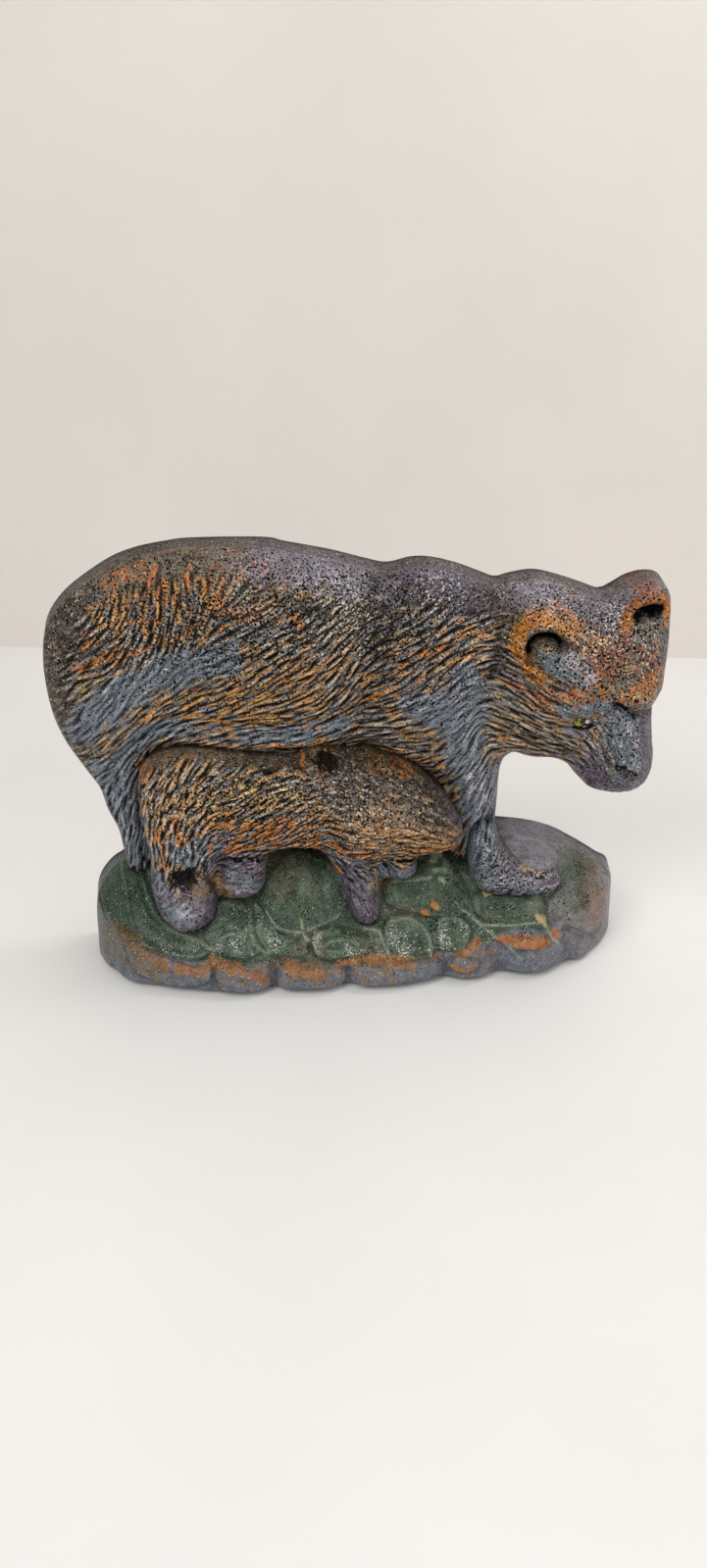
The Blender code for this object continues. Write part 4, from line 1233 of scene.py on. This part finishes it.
def add_node(tree, kind, values=None, output=0, **settings):
    """Adds one node, sets its properties, sets or links its sockets, and gives an output of it."""
    made = tree.nodes.new(kind)
    for key, value in settings.items():
        setattr(made, key, value)
    set_sockets(made, values or {})
    return made.outputs[output]


def start_material(name):
    """A new material, its node tree, its shader and the piece's own coordinates."""
    material = bpy.data.materials.new(name)
    material.use_nodes = True
    tree = material.node_tree
    place = add_node(tree, "ShaderNodeTexCoord", output="Object")
    return material, tree, tree.nodes["Principled BSDF"], place


def rgba(text):
    """An sRGB hex colour for a colour socket."""
    return (*linear(text), 1)


def enamel(name, grain, bump, roughness):
    """Hand painted enamel on sand cast iron, with painted glints for pale points and painted shade
    in its hollows.

    The sand's grain is 0.3 to 0.5 mm. It is drawn at about 1 mm, so that it still shows from
    the photograph's distance. The attribute relief holds painted shade, grit, gloss and painted
    glints.
    """
    material, tree, principled, place = start_material(name)
    paint = add_node(tree, "ShaderNodeAttribute", attribute_name="paint")
    marks = add_node(tree, "ShaderNodeAttribute", attribute_name="relief").node.outputs
    split = add_node(tree, "ShaderNodeSeparateColor", {0: marks["Color"]})
    painted_shade, coarse, gloss = split.node.outputs
    moved = add_node(tree, "ShaderNodeMapping", {"Vector": place, "Location": (0.31, 0.17, 0.43)})
    noises = ((place, grain, 1.0), (moved, grain, 1.0), (place, grain / 6, 3.0))
    grit, fleck, waves = (
        add_node(tree, "ShaderNodeTexNoise", {"Vector": at, "Scale": scale, "Detail": detail})
        for at, scale, detail in noises)
    # Dark points of painted shade in the casting's pits, where the grain is low, more of them where
    # the casting is coarse
    level = add_node(tree, "ShaderNodeMath", {0: coarse, 1: 0.15, 2: 0.37},
                     operation="MULTIPLY_ADD")
    edge = add_node(tree, "ShaderNodeMath", {0: level, 1: 0.05}, operation="SUBTRACT")
    dark = add_node(tree, "ShaderNodeMapRange", {0: grit, 1: level, 2: edge, 3: 0.0, 4: 1.0})
    # Pale points of painted glint
    start = add_node(tree, "ShaderNodeMath", {0: marks["Alpha"], 1: -0.15, 2: 0.725},
                     operation="MULTIPLY_ADD")
    stop = add_node(tree, "ShaderNodeMath", {0: start, 1: 0.05}, operation="ADD")
    pale = add_node(tree, "ShaderNodeMapRange", {0: fleck, 1: start, 2: stop, 3: 0.0, 4: 0.95})
    # The paint is lighter and darker in lumps, under the points and the dirt
    value = add_node(tree, "ShaderNodeMapRange", {0: waves, 1: 0.3, 2: 0.7, 3: 0.7, 4: 1.3})
    layer = add_node(tree, "ShaderNodeHueSaturation", {"Color": paint, "Value": value})
    for share, colour in ((dark, "crevice"), (pale, "glint"), (painted_shade, "crevice")):
        layer = add_node(tree, "ShaderNodeMix", {0: share, 6: layer, 7: rgba(COLOURS[colour])},
                         output=2, data_type="RGBA")
    # The painted shade and the dark points hardly reflect, so they stay dark, and the enamel's
    # gloss changes from place to place
    black = add_node(tree, "ShaderNodeMath", {0: dark, 1: painted_shade}, operation="MAXIMUM")
    lustre = add_node(tree, "ShaderNodeMapRange", {0: black, 1: 0.0, 2: 1.0, 3: 0.5, 4: 0.04})
    shine = add_node(tree, "ShaderNodeMapRange",
                     {0: gloss, 1: 0.0, 2: 1.0, 3: roughness[0], 4: roughness[1]})
    pits = add_node(tree, "ShaderNodeBump", {"Strength": bump, "Distance": 0.0006, "Height": grit})
    lumps = add_node(tree, "ShaderNodeBump", {"Strength": bump, "Distance": 0.0012,
                                              "Height": waves, "Normal": pits})
    set_sockets(principled, {"Base Color": layer, "Specular IOR Level": lustre,
                             "Roughness": shine, "Normal": lumps})
    return material


def specks(tree, place, scale, detail, low, high, below, above):
    """A noise and its blend of one colour into another where the noise rises from low to high."""
    noise = add_node(tree, "ShaderNodeTexNoise",
                     {"Vector": place, "Scale": scale, "Detail": detail})
    share = add_node(tree, "ShaderNodeMapRange", {0: noise, 1: low, 2: high})
    return noise, add_node(tree, "ShaderNodeMix", {0: share, 6: below, 7: rgba(above)},
                           output=2, data_type="RGBA")


def black_japan():
    """Black japan on sand cast iron: semi-gloss, with a coarse orange peel and dusty lows."""
    material, tree, principled, place = start_material("black_japanned_iron")
    _, dusty = specks(tree, place, 60.0, 4.0, 0.4, 0.7, rgba("#1d1c1b"), "#38322c")
    sand, rusty = specks(tree, place, 900.0, 3.0, 0.66, 0.74, dusty, "#5b3a26")
    bump = add_node(tree, "ShaderNodeBump", {"Strength": 0.5, "Distance": 0.0006, "Height": sand})
    set_sockets(principled, {"Base Color": rusty, "Roughness": 0.5, "Normal": bump})
    return material


def dull_steel(name, colour, roughness):
    """Turned steel gone dull: grey, rougher and browner in stains of about 2 mm."""
    material, tree, principled, place = start_material(name)
    stain, stained = specks(tree, place, 500.0, 3.0, 0.45, 0.75, rgba(colour), "#4a3c30")
    rough = add_node(tree, "ShaderNodeMapRange",
                     {0: stain, 1: 0.3, 2: 0.7, 3: roughness, 4: roughness + 0.25})
    set_sockets(principled, {"Base Color": stained, "Metallic": 0.9, "Roughness": rough})
    return material


def black_rubber():
    """Moulded black rubber: matt, with fine dust."""
    material, tree, principled, place = start_material("moulded_black_rubber")
    _, dusty = specks(tree, place, 1200.0, 2.0, 0.5, 0.8, rgba("#1b1b1b"), "#3a3937")
    set_sockets(principled, {"Base Color": dusty, "Roughness": 0.85})
    return material


def fur_detail(locks, rise, calm_forms, grit_forms, smooth_edge):
    """The fur's rise in depth, quieter on the face, the brow and the smooth top band."""
    def detail(x, z, inside):
        height, tone = (raster.at(x, z) for raster in locks)
        calm = np.clip(swell(x, z, calm_forms), 0, 1)
        edge = step(smooth_edge * 0.3, smooth_edge, inside + 3 * (clouds(x, z, 9.0, 77) - 0.5))
        upper = step(95, 150, z)
        amount = (1 - 0.85 * calm) * (edge * upper + step(0.2, 2.2, inside) * (1 - upper))
        lumps = 0.6 * (clouds(x, z, 3.0, 31) - 0.5) + 0.4 * (value_noise(x, z, 1.3, 32) - 0.5)
        grit = np.clip(0.35 + swell(x, z, grit_forms), 0.1, 1)
        value = rise * (height - 0.5) * amount + lumps * (0.5 + grit) * step(0, 3, inside)
        return value, {"height": height, "tone": tone, "amount": amount, "grit": grit}

    return detail


def leaf_covers(x, z):
    """Each leaf or stone near the points: kind, rise, gloss, those points and how far inside."""
    for kind, rise, gloss, outline in LEAVES:
        loop = smooth_line(outline, 1.2, closed=True)
        low, high = loop.min(0) - 2, loop.max(0) + 2
        near = np.flatnonzero((x > low[0]) & (x < high[0]) & (z > low[1]) & (z < high[1]))
        yield kind, rise, gloss, near, signed_distance(loop, x[near], z[near])


def mound_detail(x, z, inside):
    """The rise of the leaves and stones: domes with a bead along the edge, and veins as bells.

    A dome is its rise times 1 less the exponential of the distance inside over 2.4 mm.
    """
    rise, groove, edges = np.zeros((3, len(x)))
    for kind, high, _, near, gap in leaf_covers(x, z):
        dome = high * (1 - np.exp(-np.maximum(gap, 0) / 2.4)) * step(-0.3, 1.2, gap)
        dome += 0.32 * min(high, 2.5) * np.exp(-((gap - 0.7) / 0.6) ** 2)
        rise[near] = np.maximum(rise[near], dome)
        share = 0.45 if kind == "stone" or high < 2 else 0.8
        groove[near] = np.maximum(groove[near], share * np.exp(-((gap + 0.7) / 0.7) ** 2))
        if kind == "leaf":
            edges[near] = np.maximum(edges[near], np.exp(-((gap - 0.5) / 0.45) ** 2))
    pale = edges * 0.75 * step(0.4, 0.7, clouds(x, z, 9.0, 45))
    for high, half, white, line in MOUND_LINES:
        near, gap = near_line(line, half, x, z)
        bell = np.exp(-(gap / half) ** 2)
        rise[near] += high * bell
        pale[near] = np.maximum(pale[near], white * bell)
    rise += 0.9 * (clouds(x, z, 7.0, 41) - 0.5) + 0.3 * (value_noise(x, z, 1.6, 42) - 0.5)
    rise = np.minimum(rise, FRONT_LIMIT - ground_depth(x, z))
    return rise * step(0, 2.5, inside), {"pale": pale, "groove": groove}


def mound_paint(x, z, depth, inside, on_wall, marks):
    """The mound's paint: leaves over rock, blotches, rims and veins, strokes, tints, painted shade
    and painted glints.
    """
    palette = paint_palette(bpy.context)
    groove, pale = marks["groove"], marks["pale"]
    patch, blotch = clouds(x, z, 10.0, 51), clouds(x, z, 6.0, 53)
    rock = step(1.0, -1.5, z - along_base(FRONT_EDGE, x) + 3 * (patch - 0.5))
    grass = 1 - rock
    colour = np.tile(palette["leaf"], (len(x), 1))
    mix(colour, palette["stone"], rock)
    mix(colour, palette["purple"], rock * step(0.4, 0.7, patch) * 0.65)
    gloss_at = np.full(len(x), 0.3)
    for kind, _, gloss, near, gap in leaf_covers(x, z):
        cover = step(-0.3, 0.5, gap)
        mix(colour, palette[kind], cover * 0.9, near)
        gloss_at[near] = np.maximum(gloss_at[near], cover * gloss)
    bank = swell(x, z, BANK_BRIGHT)
    mix(colour, palette["earth"], grass * step(0.55, 0.85, clouds(x, z, 9.0, 55)) * 0.4)
    mix(colour, palette["leaf_pale"], grass * step(0.55, 0.85, blotch) * step(-118, -60, x) * 0.3)
    mix(colour, palette["crevice"], step(0.46, 0.2, blotch) * 0.3 * grass * (1 - bank))
    # Painted shade in the grooves round the leaves and stones
    mix(colour, palette["crevice"], np.clip(groove - pale, 0, 1) * 0.5)
    mix(colour, palette["leaf_pale"], pale * 0.75)
    mix(colour, palette["cream"], step(0.8, 1.0, pale) * step(0.4, 0.6, blotch) * 0.6)
    for key, near, cover in brush(x, z, depth, MOUND_PAINT, 61, fleck=3.0):
        mix(colour, palette[key], cover * 0.8, near)
    for key, *form in MOUND_TINTS:
        mix(colour, palette[key], np.clip(swell(x, z, [form]), 0, 1))
    mix(colour, palette["stone"], on_wall * 0.7)
    # Painted shade in the grooves and where the mound meets the forms in front of it
    painted_shade = 0.45 * groove * (1 - on_wall) * (1 - pale) + 0.8 * contact("ground", x, z, depth)
    coarse = 0.1 + 0.5 * step(0.45, 0.75, clouds(x, z, 6.0, 57))
    grit = coarse * (1 - 0.8 * np.maximum(rock, bank))
    # Painted glints on the glossy leaves, most in a band low on the slope
    low_edge = step(30, 21, z) * step(14, 18, z)
    glints = gloss_at * (0.2 + 1.2 * low_edge) * step(0.38, 0.62, clouds(x, z, 5.0, 59)) + 0.2
    return {"paint": np.clip(colour, 0, 1),
            "relief": np.column_stack([np.clip(painted_shade, 0, 1), grit, gloss_at, np.clip(glints, 0, 1)])}


class FurSettings(PropertyGroup):
    """How high, long and close the strands are"""

    rise: FloatProperty(
        name="Rise", description="Height of a strand of fur above its grooves, in millimetres",
        default=1.35, min=0.2, max=3.0)
    length: FloatProperty(
        name="Length", description="Half the length of a strand, in millimetres",
        default=5.0, min=3.0, max=30.0)
    spacing: FloatProperty(
        name="Spacing", description="Mean distance between strands, in millimetres",
        default=1.5, min=0.8, max=6.0)
    seed: IntProperty(name="Seed", description="Seed that places the strands", default=5, min=0)


class MoundSettings(PropertyGroup):
    """How fine the mound's casting is"""

    grain: FloatProperty(
        name="Grain", description="Cells of casting grain per metre", default=1500.0, min=100.0)


def colour_property(name, description, colour):
    """A colour that a user would change, with an sRGB hex colour as its default."""
    return FloatVectorProperty(name=name, description=description, subtype="COLOR", size=3,
                               default=linear(colour), min=0, max=1)


class PaintSettings(PropertyGroup):
    """The main paint colours"""

    fur_dark: colour_property(
        "Dark fur", "Brown-black paint in the grooves of the fur", COLOURS["fur_dark"])
    fur_mid: colour_property(
        "Middle fur", "Brown paint on the sides of the strands", COLOURS["fur_mid"])
    fur_light: colour_property(
        "Light fur", "Tan paint brushed over the strands' tops", COLOURS["fur_light"])
    ochre: colour_property("Ochre", "Ochre strands on the flanks", COLOURS["ochre"])
    orange: colour_property("Orange", "Orange strands and marks", COLOURS["orange"])
    slate: colour_property(
        "Slate", "Blue-grey paint on the legs and the flank's lower edge", COLOURS["slate"])
    purple: colour_property(
        "Purple", "Grey-purple paint along the back, the head and the paws", COLOURS["purple"])
    leaf: colour_property("Leaf", "Green paint of the leaves", COLOURS["leaf"])
    stone: colour_property("Stone", "Grey paint of the rocky front", COLOURS["stone"])


def paint_palette(context):
    """Every paint colour by name, in linear numbers, as the user has set it."""
    settings = context.scene.doorstop_paint
    palette = {key: np.array(linear(value)) for key, value in COLOURS.items()}
    palette.update({key: np.array(getattr(settings, key)) for key in PaintSettings.__annotations__})
    return palette


class StageSettings(PropertyGroup):
    """The colours round the doorstop"""

    floor: colour_property("Floor", "Colour of the table", "#f4f2ef")
    wall: colour_property("Wall", "Colour of the wall behind", "#e9e2db")


# The stage's planes as corners in metres, and its lamps as place, side in metres and watts
PLANES = {
    "table": [(-3, -2, 0), (3, -2, 0), (3, 0.093, 0), (-3, 0.825, 0)],
    "wall": [(-3, 0.825, 0), (3, 0.093, 0), (3, 0.093, 3), (-3, 0.825, 3)],
}
LAMPS = {
    "key_light": ((-0.55, -0.75, 0.95), 0.6, 6.4),
    "fill_light": ((0.8, -0.7, 0.6), 0.9, 3.2),
    "top_light": ((0.5, 0.1, 1.0), 0.4, 2.3),
}
LAMP_TARGET = (0.0, 0.0, 0.09)
WORLD_STRENGTH = 0.42
# The camera in metres and degrees, and the photograph's focal length and width in pixels
CAMERA_PLACE, CAMERA_TURN = (-0.03662, -0.48016, 0.31628), (65.0, 0.0, -3.97)
SENSOR_MM, FOCAL_PIXELS, PHOTO_WIDTH = 36.0, 1201.0, 721.0


class DOORSTOP_OT_mother(Operator):
    """Build the mother bear: her body and her head, which meet in the crease behind her ear"""

    bl_idname = "doorstop.mother"
    bl_label = "Mother bear"

    def execute(self, context):
        fur = context.scene.doorstop_fur
        locks = comb(MOTHER_GUIDES, (-142, 45), (142, 202), fur.length, fur.spacing,
                     reach=15, seed=fur.seed)
        paint = fur_paint("mother", MOTHER_PAINT, MOTHER_HOLLOWS, smooth_band=12.0, seed=3)
        detail = fur_detail(locks, fur.rise, MOTHER_CALM, MOTHER_GRIT, smooth_edge=13.0)
        coat = enamel("fur_enamel", grain=1100.0, bump=0.6, roughness=(0.6, 0.32))
        for name, pitch, head in (("mother_body", 0.56, False), ("mother_head", 0.42, True)):
            outline = cut_outline("mother", 0.8, NECK_SEAM, head)
            relief(name, "mother", outline, pitch, detail, paint, coat)
        return {"FINISHED"}


class DOORSTOP_OT_eye(Operator):
    """Build the mother's glossy painted eye"""

    bl_idname = "doorstop.eye"
    bl_label = "Eye"

    def execute(self, context):
        """An almond dome: rings from the middle out to the lids' line, and a flat back.

        The lids' line is cos t along and sin t times 1 - 0.35 cos squared t across, and the
        height is the square root of 1 - r squared.
        """
        palette = {key: np.array(linear(value)) for key, value in EYE_COLOURS.items()}
        eye_x, eye_z = EYE_PLACE
        around, out = np.meshgrid(np.arange(EYE_POINTS) / EYE_POINTS * 2 * math.pi,
                                  np.linspace(0.04, 1, EYE_RINGS))
        along = EYE_HALF_LENGTH * out * np.cos(around)
        across = EYE_HALF_HEIGHT * out * np.sin(around) * (1 - 0.35 * np.cos(around) ** 2)
        tilt = math.radians(EYE_TILT)
        x = eye_x + along * math.cos(tilt) - across * math.sin(tilt)
        z = eye_z + along * math.sin(tilt) + across * math.cos(tilt)
        base = smooth_surface("mother", np.array([eye_x]), np.array([eye_z]))[0]
        deep = base + EYE_PROUD + EYE_RISE * np.sqrt(np.clip(1 - out ** 2, 0, 1))
        front = np.column_stack([x.ravel(), deep.ravel(), z.ravel()])
        behind = np.column_stack([x[-1], np.full(EYE_POINTS, base - EYE_SINK), z[-1]])
        centres = [[eye_x, base + EYE_PROUD + EYE_RISE, eye_z], [eye_x, base - EYE_SINK, eye_z]]
        points = np.vstack([front, behind, centres])
        here = np.arange(EYE_POINTS)
        after = (here + 1) % EYE_POINTS
        corners = []
        for ring in range(EYE_RINGS):
            a, b = ring * EYE_POINTS, (ring + 1) * EYE_POINTS
            corners.append(np.column_stack([a + here, b + here, b + after]))
            corners.append(np.column_stack([a + here, b + after, a + after]))
        middle, back = len(points) - 2, len(points) - 1
        last = EYE_RINGS * EYE_POINTS
        corners.append(np.column_stack([np.full(EYE_POINTS, middle), here, after]))
        corners.append(np.column_stack([last + after, last + here, np.full(EYE_POINTS, back)]))
        colour = np.tile(palette["lid"], (len(points), 1))
        for key, u, w, squeeze, outer, inner in EYE_SPOTS:
            radius = np.hypot(points[:, 0] - eye_x - u, (points[:, 2] - eye_z - w) * squeeze)
            mix(colour, palette[key], step(outer, inner, radius))
        marks = np.tile([0.0, 0.05, 1.0, 0.0], (len(points), 1))
        finish_piece(make_mesh(
            "mother_eye", points, np.vstack(corners), {"paint": colour, "relief": marks},
            enamel("eye_enamel", grain=900.0, bump=0.05, roughness=(0.3, 0.12))))
        return {"FINISHED"}


class DOORSTOP_OT_cub(Operator):
    """Build the cub's relief"""

    bl_idname = "doorstop.cub"
    bl_label = "Cub"

    def execute(self, context):
        fur = context.scene.doorstop_fur
        locks = comb(CUB_GUIDES, (-104, 22), (52, 113), fur.length * 0.8, fur.spacing * 0.85,
                     reach=12, seed=fur.seed + 1)
        paint = fur_paint("cub", CUB_PAINT, CUB_HOLLOWS, smooth_band=2.0, seed=13,
                          edge_colour="fur_dark", pits=CUB_PITS)
        detail = fur_detail(locks, fur.rise * 0.8, CUB_CALM, CUB_GRIT, smooth_edge=6.0)
        relief("bear_cub", "cub", outline_of("cub", spacing=0.6), 0.42, detail, paint,
               bpy.data.materials["fur_enamel"], back=3.0)
        return {"FINISHED"}


class DOORSTOP_OT_paw(Operator):
    """Build the mother's front paw"""

    bl_idname = "doorstop.paw"
    bl_label = "Front paw"

    def execute(self, context):
        fur = context.scene.doorstop_fur
        locks = comb(PAW_GUIDES, (46, 30), (100, 88), fur.length * 0.8, fur.spacing * 0.9,
                     reach=12, seed=fur.seed + 2)
        paint = fur_paint("paw", PAW_PAINT, [], smooth_band=1.0, seed=23)
        detail = fur_detail(locks, fur.rise * 0.7, PAW_CALM, PAW_GRIT, smooth_edge=3.0)
        relief("mother_front_paw", "paw", outline_of("paw", spacing=0.6), 0.5, detail, paint,
               bpy.data.materials["fur_enamel"], back=3.0)
        return {"FINISHED"}


class DOORSTOP_OT_mound(Operator):
    """Build the leafy mound with its rocky front"""

    bl_idname = "doorstop.mound"
    bl_label = "Mound"

    def execute(self, context):
        coat = enamel("leaf_enamel", context.scene.doorstop_mound.grain, bump=0.4,
                      roughness=(0.6, 0.2))
        relief("leafy_mound", "ground", outline_of("ground", spacing=0.6), 0.46, mound_detail,
               mound_paint, coat, wall_rings=12)
        return {"FINISHED"}


class DOORSTOP_OT_plate(Operator):
    """Finish the back plate, the screws, the pins and the feet"""

    bl_idname = "doorstop.plate"
    bl_label = "Plate and fasteners"

    def execute(self, context):
        finishes = {
            "back_plate": black_japan(),
            "back_screw": dull_steel("dull_screw_steel", "#6d6963", 0.5),
            "locating_pin": dull_steel("ground_pin_steel", "#9a9892", 0.35),
            "rubber_foot": black_rubber(),
        }
        for name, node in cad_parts.items():
            for start, material in finishes.items():
                if name.startswith(start):
                    for slot in node.material_slots:
                        slot.material = material
        return {"FINISHED"}


class DOORSTOP_OT_stage(Operator):
    """Build the table, the wall, the soft lights and the camera"""

    bl_idname = "doorstop.stage"
    bl_label = "Stage"

    def execute(self, context):
        scene = context.scene
        self.plane("table", scene.doorstop_stage.floor)
        self.plane("wall", scene.doorstop_stage.wall)
        for name, (place, size, power) in LAMPS.items():
            self.lamp(name, place, size, power)
        world = bpy.data.worlds.new("studio")
        world.use_nodes = True
        set_sockets(world.node_tree.nodes["Background"],
                    {"Color": (1, 1, 1, 1), "Strength": WORLD_STRENGTH})
        scene.world = world
        data = bpy.data.cameras.new("photo_view")
        data.sensor_fit = "HORIZONTAL"
        data.sensor_width = SENSOR_MM
        data.lens = SENSOR_MM * FOCAL_PIXELS / PHOTO_WIDTH
        data.clip_start = 0.01
        camera = bpy.data.objects.new("photo_view", data)
        camera.location = CAMERA_PLACE
        camera.rotation_euler = [math.radians(angle) for angle in CAMERA_TURN]
        scene.collection.objects.link(camera)
        scene.camera = camera
        scene.view_settings.view_transform = "Standard"
        return {"FINISHED"}

    def plane(self, name, colour):
        """One plane of the stage, in matt paint with a faint mottle."""
        mesh = bpy.data.meshes.new(name)
        mesh.from_pydata(PLANES[name], [], [(0, 1, 2, 3)])
        plane = bpy.data.objects.new(name, mesh)
        material, tree, principled, place = start_material(name + "_paint")
        mottle = add_node(tree, "ShaderNodeTexNoise",
                          {"Vector": place, "Scale": 6.0, "Detail": 4.0})
        value = add_node(tree, "ShaderNodeMapRange", {0: mottle, 1: 0.3, 2: 0.7, 3: 0.97, 4: 1.03})
        tint = add_node(tree, "ShaderNodeHueSaturation", {"Color": (*colour, 1), "Value": value})
        set_sockets(principled, {"Base Color": tint, "Roughness": 0.6})
        mesh.materials.append(material)
        bpy.context.scene.collection.objects.link(plane)

    def lamp(self, name, place, size, power):
        """One square area lamp that faces the doorstop."""
        data = bpy.data.lights.new(name, "AREA")
        data.size = size
        data.energy = power
        lamp = bpy.data.objects.new(name, data)
        lamp.location = place
        x, y, z = np.array(LAMP_TARGET) - np.array(place)
        lamp.rotation_euler = (math.atan2(math.hypot(x, y), -z), 0, math.atan2(-x, y))
        bpy.context.scene.collection.objects.link(lamp)


class DOORSTOP_PT_panel(Panel):
    """The doorstop's sizes and colours, and a button for each piece"""

    bl_label = "Bear doorstop"
    bl_space_type = "VIEW_3D"
    bl_region_type = "UI"
    bl_category = "Doorstop"

    def draw(self, context):
        for name in SETTINGS:
            settings = getattr(context.scene, name)
            for key in settings.__annotations__:
                self.layout.prop(settings, key)
        for operator in OPERATORS:
            self.layout.operator(operator.bl_idname)


SETTINGS = {"doorstop_fur": FurSettings, "doorstop_mound": MoundSettings,
            "doorstop_paint": PaintSettings, "doorstop_stage": StageSettings}
OPERATORS = (DOORSTOP_OT_mother, DOORSTOP_OT_eye, DOORSTOP_OT_cub, DOORSTOP_OT_paw,
             DOORSTOP_OT_mound, DOORSTOP_OT_plate, DOORSTOP_OT_stage)
CLASSES = (*SETTINGS.values(), *OPERATORS, DOORSTOP_PT_panel)


def register():
    """Adds the classes, and the settings to the scene."""
    for item in CLASSES:
        bpy.utils.register_class(item)
    for name, settings in SETTINGS.items():
        setattr(bpy.types.Scene, name, PointerProperty(type=settings))


def unregister():
    """Takes the settings and the classes away again."""
    for name in SETTINGS:
        delattr(bpy.types.Scene, name)
    for item in reversed(CLASSES):
        bpy.utils.unregister_class(item)


def main():
    register()
    bpy.ops.doorstop.mother()
    bpy.ops.doorstop.eye()
    bpy.ops.doorstop.cub()
    bpy.ops.doorstop.paw()
    bpy.ops.doorstop.mound()
    bpy.ops.doorstop.plate()
    bpy.ops.doorstop.stage()


if __name__ == "__main__":
    main()
